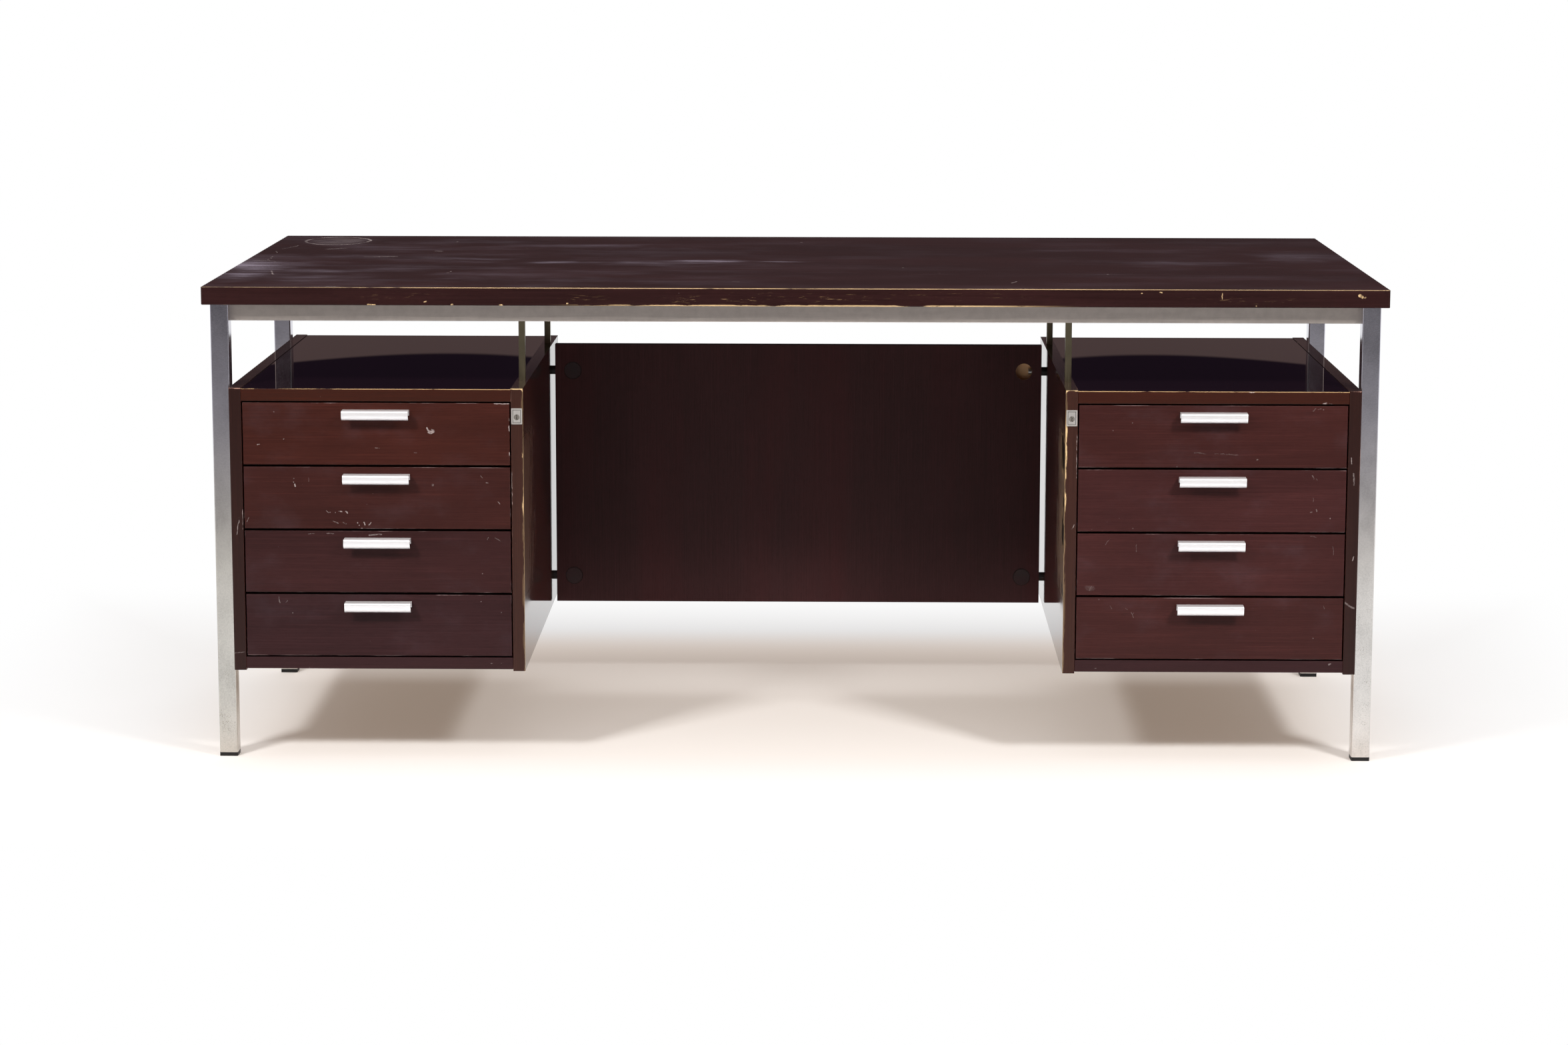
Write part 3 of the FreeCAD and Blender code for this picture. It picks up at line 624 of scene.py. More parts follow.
BOARD_LINES = {
    "left_outer_side": (
        (((-866.8, 384.8), (-870.5, 358.1)), 1.2, 0.55), (((-859.5, 478.5), (-859.7, 467.6)), 1.8, 0.8),
        (((-860.6, 397.3), (-861.2, 366)), 1.5, 0.6), (((-877.8, 169.1), (-863.8, 170.7)), 1, 0.4),
    ),
    "right_outer_side": (
        (((865.5, 485.2), (866.4, 475.7)), 1.2, 0.6), (((869.3, 459.8), (870.4, 442.4)), 1.6, 0.5),
        (((871.3, 323), (873.3, 329.4)), 1.4, 0.6), (((862, 255.7), (874.8, 247.7)), 3, 0.3),
    ),
    "left_inner_side": (
        (((-439.6, 458.2), (-439.8, 405.1)), 1.4, 0.6),
    ),
    "right_inner_side": (
        (((439.2, 521.7), (439.8, 452)), 1.2, 0.5), (((433.4, 372.4), (437, 378.8)), 1.2, 0.5),
    ),
    "left_pedestal_top": (
        (((-771.9, 578), (-779.8, 567.1)), 1, 0.35),
    ),
    "right_pedestal_top": (
        (((819.8, 569.4), (825, 569.8)), 2.6, 0.9), (((829.5, 569.2), (833.5, 569.6)), 2.4, 0.9),
        (((808, 569), (812, 569)), 1.6, 0.6), (((705, 587.2), (712, 587.2)), 2.4, 0.8),
        (((688.3, 585.5), (688.5, 577.6)), 1, 0.4), (((756.4, 582),), 1.6, 0.6),
    ),
    "left_pedestal_bottom": (
        (((-479.8, 153.1), (-448.6, 161.2)), 1.4, 0.5), (((-466, 152), (-450, 156)), 1.2, 0.4),
        (((-803.5, 158.1), (-796, 160)), 1.4, 0.4), (((-763.2, 147.1), (-761, 147.1)), 1.4, 0.5),
    ),
    "right_pedestal_bottom": (
        (((517.2, 151), (523.5, 152.7)), 1.6, 0.5), (((485.6, 149.3), (469.8, 149.2)), 1, 0.4),
        (((844.1, 160.5), (838, 158)), 2.4, 0.4), (((820.5, 155.6), (823, 156.4)), 1.4, 0.4),
    ),
}
BOARD_ROUGH = 0.34
FACE_ROUGH = {"outer_side": 0.20, "inner_side": 0.025}
FACE_SHARE = 0.85
DUST_SHARE = 0.8
DUST_SMOOTHS = 0.29
LEVEL_ROUGH = 0.36
LACQUER_ROUGH = 0.004
BOW_SLOPE = 0.0008
CORNER_WEAR = 6.5
CORNER_DEPTHS = (2.0, 5.0)
KNEE_HEIGHTS = ((0.36, 0.42), (0.53, 0.56))
KNEE_ELSEWHERE = 0.12
SCUFFING = {"left": 0.3, "right": 0.9}
SCUFF_HEIGHTS = ((0.20, 0.30), (0.48, 0.55))
SCUFF_DEPTHS = (0.09, 0.24)
SCUFF_RAGGED = 0.07
SCUFF_ROUGH = 0.45
TORN_VENEER = {
    "left": (),
    "right": ((474, 88, 29), (353, 74, 23), (262, 60, 9), (405, 40, 12)),
}
TORN_LEAN = 0.2
TORN_EDGE = (0.88, 0.98)
TORN_RIM = (1.02, 1.2)
SPLINTERS = 0.35
SPLINTERS_INWARD = 0.7


def on_pedestal(x, z):
    return (x * MM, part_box("left_outer_side")[0][Y], z * MM)


def worn_corner(shader, bounds, side, radius):
    """1 outside an arc that cuts off a board's upper front corner."""
    deep = [face_distance(shader, bounds, face) for face in (side, UPPER)]
    inset = [shader.math("MAXIMUM", shader.math("SUBTRACT", radius, d), 0.0) for d in deep]
    reach = shader.math("SQRT", shader.math("ADD", *[shader.math("MULTIPLY", v, v) for v in inset]))
    near, far = [depth * MM for depth in CORNER_DEPTHS]
    front = shader.remap(face_distance(shader, bounds, FRONT), near, far, 1.0, 0.0)
    return shader.math("MULTIPLY", shader.remap(reach, radius * 0.93, radius * 1.02), front)


def scuff_face(wood, name, inward):
    """Streaky scuffs along the front of the face towards the kneehole; gives where they are."""
    shader = wood.shader
    streaks = shader.noise((160.0, 160.0, 9.0), detail=4.0)
    ragged = shader.remap(streaks, *NOISE_SPAN, -SCUFF_RAGGED, SCUFF_RAGGED)
    reach = shader.math("ADD", face_distance(shader, wood.bounds, FRONT), ragged)
    heights = between(shader, shader.axes[Z], *SCUFF_HEIGHTS)
    scuffed = shader.product(shader.remap(reach, *SCUFF_DEPTHS, 1.0, 0.0), heights, inward)
    wood.over(shader.math("MULTIPLY", scuffed, SCUFFING[name]), SCUFFED_FACE)
    return scuffed


def tear_veneer(wood, name, inward):
    """Splintered slots torn out of the front of the face towards the kneehole, with bare rims and cores of
    painted shade for the slots' depth.
    """
    shader = wood.shader
    behind = face_distance(shader, wood.bounds, FRONT)
    leaning = shader.math("SUBTRACT", shader.axes[Z], shader.math("MULTIPLY", behind, TORN_LEAN))
    fibres = shader.noise((120.0, 120.0, 5.0), detail=4.0, roughness=0.6)
    splinters = shader.remap(fibres, *NOISE_SPAN, -SPLINTERS, SPLINTERS)
    splinters_inward = shader.math("MULTIPLY", splinters, SPLINTERS_INWARD)
    chipped = shader.remap(shader.noise(45.0, detail=4.0), 0.4, 0.6, 0.1, 0.8)
    for height, deep, high in TORN_VENEER[name]:
        above = shader.math("ABSOLUTE", shader.math("SUBTRACT", leaning, height * MM))
        rise = shader.math("ADD", shader.math("DIVIDE", above, high * MM), splinters)
        depth = shader.math("ADD", shader.math("DIVIDE", behind, deep * MM), splinters_inward)
        off_middle = shader.math("MAXIMUM", rise, depth)
        rim = shader.remap(off_middle, *TORN_RIM, 1.0, 0.0)
        slot = shader.remap(off_middle, *TORN_EDGE, 1.0, 0.0)
        wood.over(shader.product(rim, chipped, inward), EDGE_BARE)
        # painted shade: the dark core of each slot
        wood.over(shader.product(slot, inward), TORN_SLOT_SHADE)


def dress_board(name, board):
    """A pedestal's outer or inner side; the inner one is worn and torn towards the kneehole."""
    node = name + "_" + board
    inner = board == "inner_side"
    stain = INNER_STAIN if inner else OUTER_STAIN
    wood = Wood(node + "_veneer", node, Z, stain, shade(stain, 1.12))
    shader = wood.shader
    up = shader.facing(Z, 1)
    aside = shader.facing(X, -1, 1)
    wood.over(shader.math("MULTIPLY", up, DUST_SHARE), DUSTY_EDGE)
    wood.over(shader.math("MULTIPLY", aside, FACE_SHARE), FACE_STAIN)
    rough = shader.remap(aside, 0.0, 1.0, BOARD_ROUGH, FACE_ROUGH[board])
    if inner:
        inward = shader.facing(X, -SIDES[name])
        dull = shader.math("MULTIPLY", scuff_face(wood, name, inward), SCUFF_ROUGH)
        rough = shader.math("MAXIMUM", rough, dull)
        tear_veneer(wood, name, inward)
    # pink lines on the arrises are wear with a painted highlight
    for end in ENDS:
        side = (X, end)
        wood.wear((side, FRONT), PINK_WEAR_AND_HIGHLIGHT, width=1.0, share=0.5, along=9.0)
        if inner and side == KNEEHOLE[name]:
            knee_high = between(shader, shader.axes[Z], *KNEE_HEIGHTS)
            worn_most = shader.math("MAXIMUM", knee_high, KNEE_ELSEWHERE)
            wood.wear((side, FRONT), CREAM, width=3.8, share=0.75, along=12.0, where=worn_most)
        wood.wear((side, UPPER), PINK_WEAR_AND_HIGHLIGHT, width=0.8, share=0.5, along=9.0)
    wood.wear((FRONT, UPPER), CREAM if inner else PINK_WEAR_AND_HIGHLIGHT, width=1.8, share=0.9, along=50.0)
    if inner:
        wood.over(worn_corner(shader, wood.bounds, KNEEHOLE[name], CORNER_WEAR * MM), CREAM)
    wood.over(drawn(shader, BOARD_LINES[node], on_pedestal), SCRATCH)
    wood.specks(share=0.02)
    wood.finish(shader.math("SUBTRACT", rough, shader.math("MULTIPLY", up, DUST_SMOOTHS)), gloss=0.26)


def bow(shader, bounds):
    """A board that lies slightly higher at the back along its middle than at its sides."""
    middle = (bounds[0][X] + bounds[1][X]) / 2
    half = (bounds[1][X] - bounds[0][X]) / 2
    across = shader.math("DIVIDE", shader.math("SUBTRACT", shader.axes[X], middle), half)
    crown = shader.math("SUBTRACT", 1.0, shader.math("MULTIPLY", across, across))
    return shader.product(shader.math("SUBTRACT", shader.axes[Y], bounds[0][Y]), crown, BOW_SLOPE)


def dress_level_board(name, board, glossy):
    """A pedestal's top or bottom; the top is lacquered like a mirror behind its brown front edge."""
    node = name + "_" + board
    wood = Wood(node + "_veneer", node, X, STRIP_STAIN if glossy else PLUM_STAIN)
    shader = wood.shader
    up = shader.facing(Z, 1)
    # pink lines on the arrises below are wear with a painted highlight
    if glossy:
        wood.over(up, GLOSS_STAIN)
        wood.wear((FRONT, UPPER), EDGE_BARE, width=1.2, share=0.9, along=12.0)
    else:
        wood.wear((FRONT, UPPER), PINK_WEAR_AND_HIGHLIGHT, width=0.9, share=0.3, along=12.0)
    wood.wear((FRONT, LOWER), PINK_WEAR_AND_HIGHLIGHT, width=0.9, share=0.3, along=12.0)
    wood.over(drawn(shader, BOARD_LINES[node], on_pedestal), SCRATCH)
    wood.specks(share=0.02)
    if glossy:
        rough = shader.remap(up, 0.0, 1.0, LEVEL_ROUGH, LACQUER_ROUGH)
        wood.finish(rough, gloss=0.3, normal=shader.bump(bow(shader, wood.bounds), 1.0))
    else:
        wood.finish(LEVEL_ROUGH, gloss=0.18)
    soften(node)


def dress_pedestal(name):
    for board in ("outer_side", "inner_side"):
        dress_board(name, board)
    dress_level_board(name, "pedestal_top", True)
    dress_level_board(name, "pedestal_bottom", False)
    wood = Wood(name + "_back_veneer", name + "_pedestal_back", Z, MODESTY_STAIN, PLUM_STAIN)
    wood.finish(rough=0.4, gloss=0.2)
    soften(wood.node)


# Drawer fronts: marks as on the desk top, and each front's share of plum stain from the top one down

DRAWER_LINES = {
    "left_drawer_1": (
        (((-809.4, 551.5),), 1.8, 0.8), (((-794.9, 508.7),), 1.8, 0.8),
        (((-836.1, 499.8), (-832.4, 500.4)), 1.6, 0.7),
        (((-571, 527), (-569.5, 523), (-566, 521), (-562, 522.6)), 2.2, 0.85),
        (((-569, 520.4), (-564.4, 518.8), (-560.6, 521), (-560.8, 524), (-564, 524.6)), 2, 0.9),
        (((-652, 495.2), (-645, 495.2)), 1.2, 0.3), (((-466, 565.3), (-458, 565.4)), 1.5, 0.9),
        (((-457, 565.4), (-443.4, 565.2)), 1.7, 1), (((-442.9, 542), (-442.9, 539)), 1.4, 0.7),
        (((-442.9, 531), (-443, 523)), 1.6, 0.9), (((-442.9, 489), (-442.9, 484.6)), 1.6, 0.8),
        (((-591.6, 488.5), (-588, 488)), 1.2, 0.3),
    ),
    "left_drawer_2": (
        (((-780.7, 447.4),), 1.6, 0.7), (((-780.2, 441.1),), 1.6, 0.7),
        (((-778.6, 437.8), (-778.2, 435.8)), 2.6, 1), (((-757.5, 449), (-757, 441.8)), 0.9, 0.35),
        (((-851.6, 384.6), (-855.4, 378.3)), 1, 0.4), (((-711, 395.4), (-706, 395)), 1.6, 0.8),
        (((-700.5, 395.6), (-698.5, 394.4), (-697, 392)), 1.6, 0.9), (((-724.5, 393.8),), 1.6, 0.6),
        (((-730.6, 396), (-727, 393)), 1.2, 0.4), (((-716, 393),), 1.4, 0.5),
        (((-681.4, 377.4),), 1.8, 0.9), (((-679, 373),), 1.6, 0.7), (((-675.4, 368),), 1.8, 0.8),
        (((-671.5, 378), (-670.2, 373.8)), 1.6, 0.9), (((-661.3, 377.5), (-664.5, 373.4)), 1.6, 0.7),
        (((-720.1, 378.8), (-712, 375.6)), 1.1, 0.4), (((-704, 377), (-700, 375.2)), 1.2, 0.4),
        (((-488.8, 451.5), (-485, 449)), 1, 0.3), (((-480, 441.6), (-476, 440)), 1.2, 0.4),
        (((-461.5, 411), (-459, 408)), 1.2, 0.5), (((-563.7, 437.2),), 4, 0.3),
    ),
    "left_drawer_3": (
        (((-759.2, 359.8), (-750, 360)), 1.2, 0.5), (((-730, 360), (-718.9, 360)), 1.2, 0.5),
        (((-664.7, 358.2), (-644.6, 358.8)), 2.2, 0.45), (((-477.5, 354.6), (-479, 351)), 1.2, 0.5),
        (((-466, 354), (-459, 349)), 1.2, 0.45), (((-806, 342.4), (-807, 338)), 1, 0.35),
        (((-486.9, 296.6),), 1.6, 0.6),
    ),
    "left_drawer_4": (
        (((-807.7, 259.1), (-806.3, 249.7)), 1, 0.35), (((-797, 250), (-793, 253)), 1, 0.3),
        (((-786.4, 234),), 1.6, 0.45), (((-489.5, 252.5),), 1.8, 0.5), (((-458.7, 235.3),), 1.6, 0.35),
    ),
    "right_drawer_1": (
        (((525.1, 538.5),), 1.6, 0.7), (((495.5, 526.4),), 1.4, 0.5),
        (((621.4, 492), (640, 491)), 1.2, 0.28), (((655, 490.6), (690.3, 489.1)), 1.2, 0.28),
        (((718.7, 481.3), (720, 482)), 1.8, 0.7), (((595.2, 470.7),), 2, 0.7),
        (((804.5, 557.6), (808.5, 562)), 1.4, 0.5), (((812, 560), (816, 562)), 1.4, 0.45),
        (((820.1, 560.7),), 1.8, 0.6),
    ),
    "right_drawer_2": (
        (((805.4, 456.2), (808, 452)), 1.6, 0.5), (((811, 452), (813.4, 449.9)), 1.4, 0.4),
        (((806.8, 462),), 1.6, 0.4), (((807.8, 421.3), (808.4, 416)), 1.2, 0.35),
        (((804.4, 399), (806.4, 399.4)), 1.8, 0.7), (((812.6, 403.4), (813.4, 400.6)), 1.6, 0.7),
        (((835.3, 388.9),), 2, 0.8), (((527.8, 372.5),), 1.8, 0.6),
    ),
    "right_drawer_3": (
        (((459, 278), (468, 277)), 7, 0.16), (((462, 275), (466, 280)), 2, 0.3),
        (((494.4, 358), (485.7, 346.8)), 1, 0.35), (((534.5, 347), (534.7, 335.8)), 1, 0.4),
        (((841.1, 344.9), (841.4, 332.2)), 1, 0.35), (((806.1, 361.6), (815.6, 359.2)), 1.2, 0.4),
    ),
    "right_drawer_4": (
        (((495.1, 249), (498, 245)), 1, 0.4), (((519, 246), (523, 243)), 1, 0.4),
        (((528.4, 239.4), (530, 236), (531.7, 231)), 1.1, 0.5), (((533, 239), (530, 236)), 1, 0.45),
        (((813.2, 199.9),), 2, 0.7), (((827.7, 251.5), (829, 246)), 1, 0.4),
        (((477.6, 260),), 1.6, 0.5),
    ),
}
DRAWER_WEAR = {"left": 0.85, "right": 0.5}
# the drawers' faint haze is partly painted sheen
DRAWER_HAZE_AND_SHEEN = {"left": 0.025, "right": 0.03}
DRAWER_PLUM = {"left": (0.05, 0.35, 0.75, 0.95), "right": (0.5, 0.75, 0.7, 0.55)}
PLUM_TONE = {"left": PLUM_STAIN, "right": PINK_STAIN}
HAZE_STEP = 3.7


def on_drawer(x, z):
    return (x * MM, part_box("left_drawer_1_front")[0][Y], z * MM)


def dress_drawer(name, number):
    drawer = "%s_drawer_%d" % (name, number)
    plum = DRAWER_PLUM[name][number - 1]
    mixed = tuple(a + (b - a) * plum for a, b in zip(RED_STAIN, PLUM_TONE[name]))
    wood = Wood(drawer + "_veneer", drawer + "_front", X, mixed, shade(mixed, 0.8))
    shader = wood.shader
    shift = (number * HAZE_STEP, 0.0, 0.0)
    dull = shader.noise((9.0, 9.0, 14.0), detail=5.0, roughness=0.6, shift=shift)
    # a faint mauve haze, partly painted sheen of soft reflections
    wood.over(shader.remap(dull, 0.48, 0.8, 0.0, DRAWER_HAZE_AND_SHEEN[name]), HAZE_AND_SHEEN)
    # grey lines on the arrises are wear with a painted highlight
    for end in ENDS:
        wood.wear((FRONT, (Z, end)), GREY_WEAR_AND_HIGHLIGHT, width=0.9, share=0.6, along=10.0)
        wood.wear((FRONT, (X, end)), GREY_WEAR_AND_HIGHLIGHT, width=0.9, share=0.5, along=12.0)
    marks = drawn(shader, DRAWER_LINES[drawer], on_drawer)
    wood.over(shader.math("MULTIPLY", marks, DRAWER_WEAR[name]), SCRATCH)
    wood.specks(share=0.03)
    wood.finish(rough=0.36, gloss=0.16)
    dress(drawer + "_box", BOX_WOOD)
    dress(drawer + "_handle", PULL)


# Modesty panel: its access holes' radius in millimetres, and shares of that radius

CAP_RADIUS = 14.0
# how far the painted shade round each cap reaches
CAP_SHADE_REACH = 1.14
HOLE_EDGE = (1.01, 1.04)
HOLE_DEPTHS = (0.3, 1.0)


def off_axis(shader, x, z):
    """How far a point lies from a level axis through the panel."""
    offset = shader.vector("SUBTRACT", shader.place, (x, 0.0, z))
    return shader.vector("LENGTH", shader.vector("MULTIPLY", offset, (1.0, 0.0, 1.0)))


def dress_modesty():
    wood = Wood("modesty_veneer", "modesty_panel", Z, MODESTY_STAIN, shade(MODESTY_STAIN, 1.15))
    shader = wood.shader
    bands = shader.noise((8.0, 8.0, 0.7))
    wood.over(shader.remap(bands, 0.48, 0.68, 0.0, 0.3), MODESTY_RED)
    # a pink line on the lower front arris: wear with a painted highlight
    wood.wear((FRONT, LOWER), PINK_WEAR_AND_HIGHLIGHT, width=1.2, share=0.4, along=9.0)
    low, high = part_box("modesty_caps")
    radius = CAP_RADIUS * MM
    across, below, above = high[X] - radius, low[Z] + radius, high[Z] - radius
    capped = [off_axis(shader, x, z) for x, z in ((-across, below), (-across, above), (across, below))]
    # painted shade: a dark ring round each cap, a contact shadow in the gap, with some grime
    shade_and_grime = [shader.remap(distance, radius, radius * CAP_SHADE_REACH, 0.85, 0.0) for distance in capped]
    wood.over(shader.most(shade_and_grime), CAP_SHADE_AND_GRIME)
    inner, outer = [radius * share for share in HOLE_EDGE]
    in_hole = shader.remap(off_axis(shader, across, above), inner, outer, 1.0, 0.0)
    shallow, deep = [depth * MM for depth in HOLE_DEPTHS]
    sunk = shader.remap(face_distance(shader, wood.bounds, FRONT), shallow, deep)
    wood.over(shader.product(in_hole, sunk), HOLE_WOOD)
    wood.finish(rough=0.46, gloss=0.14)
    dress("modesty_caps", plain_plastic("cap_plastic", CAP_TINT, 0.45))
    dress("modesty_spacers", FOOT)


# Metals, plastics and plain wood

REFLECTION_TINT_HEIGHTS = (0.30, 0.62)
PIT_HEIGHTS = (0.02, 0.42)
MOTTLE_LEVELS = ((0.36, 0.76), (0.5, 0.9), (0.62, 1.0))


def chrome(name, high_reflection_tint, low_reflection_tint, rough):
    """Old plating: cloudy and scuffed, with olive pits low down, and a painted reflection that leaves it
    cool and darker high up and warmer and lighter low down.
    """
    shader = Shader(name)
    clouds = shader.noise((28.0, 28.0, 18.0), detail=6.0, roughness=0.65)
    specks = shader.noise(420.0)
    mottle = shader.average(clouds, specks, 0.6)
    # painted reflection: a cool tint high up that turns warm low down
    tint = shader.blend(shader.remap(shader.axes[Z], *REFLECTION_TINT_HEIGHTS), low_reflection_tint, high_reflection_tint)
    level = shader.ramp(mottle, [(position, (value,) * 3) for position, value in MOTTLE_LEVELS])
    colour = shader.vector("MULTIPLY", tint, level)
    low_down = shader.remap(shader.axes[Z], *PIT_HEIGHTS, 0.9, 0.12)
    patchy = shader.remap(shader.noise((60.0, 60.0, 45.0), detail=4.0), 0.46, 0.70)
    pitted = shader.product(shader.spots(430.0, 0.30), patchy, low_down)
    shader.set(Base_Color=shader.blend(pitted, colour, PITS), Metallic=1.0)
    shader.roughen(mottle, rough, 0.8, 1.3)
    shader.set(Normal=shader.bump(specks, 0.02 * MM))
    return shader


def satin_metal(name, tint, rough, cells, metallic=1.0, relief=0.008, worn=0.92, vary=0.15):
    """Drawn or brushed metal with fine lines along its length."""
    shader = Shader(name)
    lines = shader.noise(cells, detail=4.0)
    colour = shader.ramp(shader.noise(90.0, detail=4.0), [(0.35, shade(tint, worn)), (0.6, tint)])
    shader.set(Base_Color=colour, Metallic=metallic)
    shader.roughen(lines, rough, 1.0 - vary, 1.0 + vary)
    shader.set(Normal=shader.bump(lines, relief * MM))
    return shader


def plain_plastic(name, tint, rough):
    """Moulded plastic with a fine skin and some dust."""
    shader = Shader(name)
    dust = shader.noise(70.0, detail=4.0)
    colour = shader.ramp(dust, [(0.4, tint), (0.75, shade(tint, 1.7))])
    shader.set(Base_Color=colour, Specular_IOR_Level=0.3)
    shader.roughen(dust, rough, 0.8, 1.3)
    shader.set(Normal=shader.bump(shader.noise(600.0), 0.03 * MM))
    return shader


def box_wood():
    """Plain pale wood with its grain from front to back."""
    shader = Shader("drawer_box_wood")
    streaks = shader.noise((60.0, 5.0, 160.0), detail=4.0)
    fine = shader.noise((900.0, 40.0, 900.0))
    shader.set(Base_Color=shader.ramp(shader.average(streaks, fine, 0.7), BOX_TINTS))
    shader.set(Roughness=0.6, Normal=shader.bump(fine, 0.04 * MM))
    return shader


BOX_WOOD = box_wood()
PULL = satin_metal("pull_aluminium", PULL_TINT, 0.29, (12.0, 500.0, 500.0),
                   metallic=0.5, relief=0.0001, worn=0.99, vary=0.04)
FOOT = plain_plastic("foot_plastic", FOOT_TINT, 0.5)
HANGER = satin_metal("hanger_steel", HANGER_TINT, 0.4, (500.0, 500.0, 12.0))
STEEL = satin_metal("plain_steel", STEEL_TINT, 0.34, (500.0, 500.0, 20.0))
LEG_ROUGH = 0.14
LOCK_RIM = 2.2
LOCK_GROOVE = 0.7


def dress_frame():
    rails = satin_metal("rail_steel", RAIL_TINT, 0.44, (9.0, 600.0, 600.0))
    for name in SIDES:
        legs = chrome(name + "_leg_chrome", *LEG_REFLECTION_TINTS[name], LEG_ROUGH)
        for place in ("front", "rear"):
            dress("%s_%s_leg" % (place, name), legs)
    for node in ("front_rail", "rear_rail", "side_rails", "cross_rails"):
        dress(node, rails)
    dress("feet", FOOT)
    dress("pedestal_hangers", HANGER)
    for node in ("top_screws", "pedestal_screws", "modesty_bolts"):
        dress(node, STEEL)


def dress_lock(name):
    """A nickel case with painted shade and some grime in the groove round its plate's field, a nickel plug,
    and what it works.
    """
    node = name + "_lock_case"
    shader = satin_metal(node + "_nickel", LOCK_TINT, 0.42, (300.0, 300.0, 900.0))
    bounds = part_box(node)
    inset = [face_distance(shader, bounds, (axis, end)) for axis in (X, Z) for end in ENDS]
    nearest = inset[0]
    for distance in inset[1:]:
        nearest = shader.math("MINIMUM", nearest, distance)
    middle = (LOCK_RIM + LOCK_GROOVE / 2) * MM
    off_line = shader.math("ABSOLUTE", shader.math("SUBTRACT", nearest, middle))
    # painted shade in the groove, standing for its occlusion, with some grime
    shade_and_grime = shader.remap(off_line, LOCK_GROOVE * 0.45 * MM, LOCK_GROOVE * 0.6 * MM, 0.85, 0.0)
    nickel = shader.surface.inputs["Base Color"].links[0].from_socket
    shader.set(Base_Color=shader.blend(shade_and_grime, nickel, LOCK_GROOVE_SHADE_AND_GRIME))
    dress(node, shader)
    dress(name + "_lock_plug", satin_metal(name + "_plug_nickel", PLUG_TINT, 0.24, 700.0))
    dress(name + "_locking_bar", STEEL)


# Floor, light and camera


def white_surround(shader):
    """Whitens the floor away from the desk, to the eye and in reflections, and keeps the shadow near it,
    lifted by a weak warm glow that is painted bounce light.
    """
    path = shader.node("ShaderNodeLightPath").outputs
    seen = shader.most([path["Is Camera Ray"], path["Is Glossy Ray"], path["Is Transmission Ray"]])
    along = shader.axes[Y]
    across = shader.math("ABSOLUTE", shader.axes[X])
    aside = shader.remap(across, *WHITE_ASIDE, NEAR_GLOW_SHARE, 1.0)
    behind = shader.remap(along, *WHITE_BEHIND, NEAR_GLOW_SHARE, 1.0)
    before = shader.remap(along, *WHITE_BEFORE, 1.0, NEAR_GLOW_SHARE)
    away = shader.most([aside, behind, before])
    bounce_fades = [
        shader.remap(across, *BOUNCE_FADE_ASIDE),
        shader.remap(along, *BOUNCE_FADE_BEFORE, 1.0, 0.0),
        shader.remap(away, NEAR_GLOW_SHARE, BOUNCE_FADE_UP_TO),
    ]
    # the glow: white away from the desk, and warm near it as painted bounce light
    white = shader.node("ShaderNodeEmission")
    shader.feed(white.inputs["Color"], shader.blend(shader.most(bounce_fades), PAINTED_BOUNCE_COLOUR, WHITE))
    mix = shader.node("ShaderNodeMixShader")
    shader.feed(mix.inputs[0], shader.product(away, shader.remap(along, *WHITE_IN_SIGHT), seen))
    shader.feed(mix.inputs[1], shader.surface.outputs[0])
    shader.feed(mix.inputs[2], white.outputs[0])
    shader.feed(shader.tree.nodes["Material Output"].inputs["Surface"], mix.outputs[0])


def make_floor():
    reach = FLOOR_REACH
    mesh = bpy.data.meshes.new("floor")
    corners = [(-reach, -reach, 0), (reach, -reach, 0), (reach, reach, 0), (-reach, reach, 0)]
    mesh.from_pydata(corners, [], [(0, 1, 2, 3)])
    floor = bpy.data.objects.new("floor", mesh)
    bpy.context.scene.collection.objects.link(floor)
    shader = Shader("pale_floor")
    # the floor darkens in front of the desk: painted shade
    first, last = FLOOR_PAINTED_SHADE_STOPS[0][0], FLOOR_PAINTED_SHADE_STOPS[-1][0]
    along = shader.math("DIVIDE", shader.math("SUBTRACT", shader.axes[Y], first), last - first, clamp=True)
    stops = [((y - first) / (last - first), (FLOOR_SHADE * level,) * 3) for y, level in FLOOR_PAINTED_SHADE_STOPS]
    shader.set(Base_Color=shader.ramp(along, stops), Roughness=FLOOR_ROUGH, Specular_IOR_Level=0.0)
    white_surround(shader)
    mesh.materials.append(shader.material)


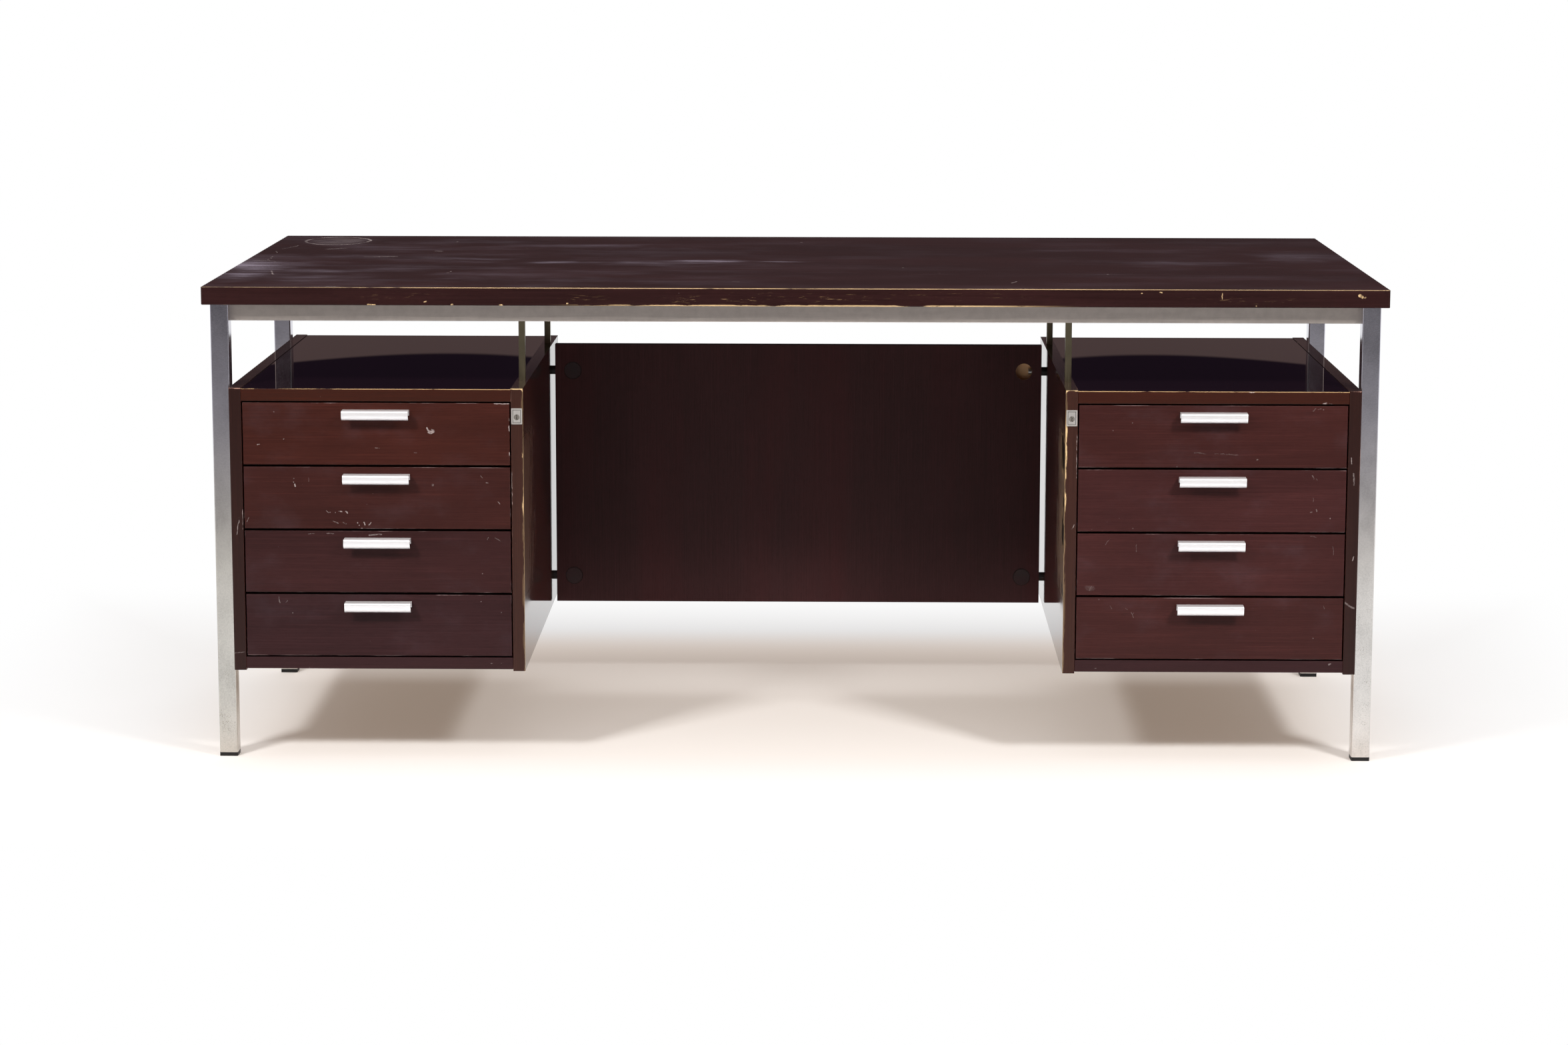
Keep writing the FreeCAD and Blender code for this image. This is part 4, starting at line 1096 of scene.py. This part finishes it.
def make_world():
    """A dim backdrop low down, a dark gap above it, a bright ceiling and soft light from both sides."""
    world = bpy.data.worlds.new("studio")
    bpy.context.scene.world = world
    world.use_nodes = True
    tree = world.node_tree
    background = tree.nodes["Background"]
    direction = tree.nodes.new("ShaderNodeTexCoord")
    split = tree.nodes.new("ShaderNodeSeparateXYZ")
    tree.links.new(direction.outputs["Generated"], split.inputs[0])

    def level(value, low, high, most=1.0):
        made = tree.nodes.new("ShaderNodeMapRange")
        made.interpolation_type = "SMOOTHSTEP"
        tree.links.new(value, made.inputs[0])
        for socket, limit in zip(made.inputs[1:5], (low, high, 0.0, most)):
            socket.default_value = limit
        return made.outputs[0]

    def size_of(value):
        made = tree.nodes.new("ShaderNodeMath")
        made.operation = "ABSOLUTE"
        tree.links.new(value, made.inputs[0])
        return made.outputs[0]

    def mixed(factor, first, second, kind="MIX"):
        made = tree.nodes.new("ShaderNodeMix")
        made.data_type = "RGBA"
        made.blend_type = kind
        made.clamp_factor = False
        for socket, value in zip((made.inputs[0], made.inputs[6], made.inputs[7]), (factor, first, second)):
            if isinstance(value, bpy.types.NodeSocket):
                tree.links.new(value, socket)
            else:
                socket.default_value = (*value, 1.0)
        return made.outputs[2]

    aside, up = split.outputs[X], split.outputs[Z]
    colour = mixed(level(up, *BACKDROP_SINES), BACKDROP_COLOUR, GAP_COLOUR)
    colour = mixed(level(size_of(aside), *SIDE_SINES), colour, SIDE_COLOUR, "ADD")
    colour = mixed(level(up, *SKY_SINES, SKY_LEVEL), colour, SKY_COLOUR, "ADD")
    tree.links.new(colour, background.inputs["Color"])


def aim(lamp, direction):
    lamp.rotation_euler = Vector(direction).to_track_quat("-Z", "Y").to_euler()


def make_lamp(name, place, target, size, strength, spread):
    light = bpy.data.lights.new(name, "AREA")
    light.shape = "RECTANGLE"
    light.size, light.size_y = size
    light.energy = strength
    light.color = LAMP_COLOUR
    light.spread = spread
    lamp = bpy.data.objects.new(name, light)
    lamp.location = place
    aim(lamp, Vector(target) - Vector(place))
    bpy.context.scene.collection.objects.link(lamp)
    return lamp


def make_lights():
    sun = bpy.data.lights.new("overhead", "SUN")
    sun.energy = SUN_STRENGTH
    sun.angle = SUN_SPREAD
    lamp = bpy.data.objects.new("overhead", sun)
    aim(lamp, SUN_LEAN)
    bpy.context.scene.collection.objects.link(lamp)
    for name, side in SIDES.items():
        place, target = [(side * x, y, z) for x, y, z in (LAMP_PLACE, LAMP_TARGET)]
        make_lamp(name + "_softbox", place, target, LAMP_SIZE, LAMP_STRENGTH, LAMP_SPREAD)
    make_lamp("front_softbox", FRONT_PLACE, FRONT_TARGET, FRONT_SIZE, FRONT_STRENGTH, FRONT_SPREAD)
    rear = make_lamp("rear_softbox", REAR_PLACE, REAR_TARGET, FRONT_SIZE, REAR_STRENGTH, FRONT_SPREAD)
    rear.visible_glossy = False


def make_camera():
    lens = bpy.data.cameras.new("camera")
    lens.sensor_fit = "HORIZONTAL"
    lens.sensor_width = SENSOR_MM
    lens.lens = SENSOR_MM * FOCAL_PIXELS / IMAGE_WIDTH
    lens.clip_end = 4 * FLOOR_REACH
    camera = bpy.data.objects.new("camera", lens)
    bpy.context.scene.collection.objects.link(camera)
    level = math.cos(CAMERA_PITCH)
    forward = Vector((math.sin(CAMERA_YAW) * level, math.cos(CAMERA_YAW) * level, math.sin(CAMERA_PITCH)))
    right = Vector((math.cos(CAMERA_YAW), -math.sin(CAMERA_YAW), 0.0))
    right = Matrix.Rotation(-CAMERA_ROLL, 3, forward) @ right
    up = right.cross(forward)
    turn = Matrix((right, up, -forward)).transposed().to_4x4()
    camera.matrix_world = Matrix.Translation(CAMERA_PLACE) @ turn
    bpy.context.scene.camera = camera


dress_desk_top()
dress_frame()
for side_name in SIDES:
    dress_pedestal(side_name)
    dress_lock(side_name)
    dress(side_name + "_drawer_runners", BOX_WOOD)
    for number in DRAWERS:
        dress_drawer(side_name, number)
dress_modesty()
make_floor()
make_world()
make_lights()
make_camera()
bpy.context.scene.view_settings.view_transform = "Standard"
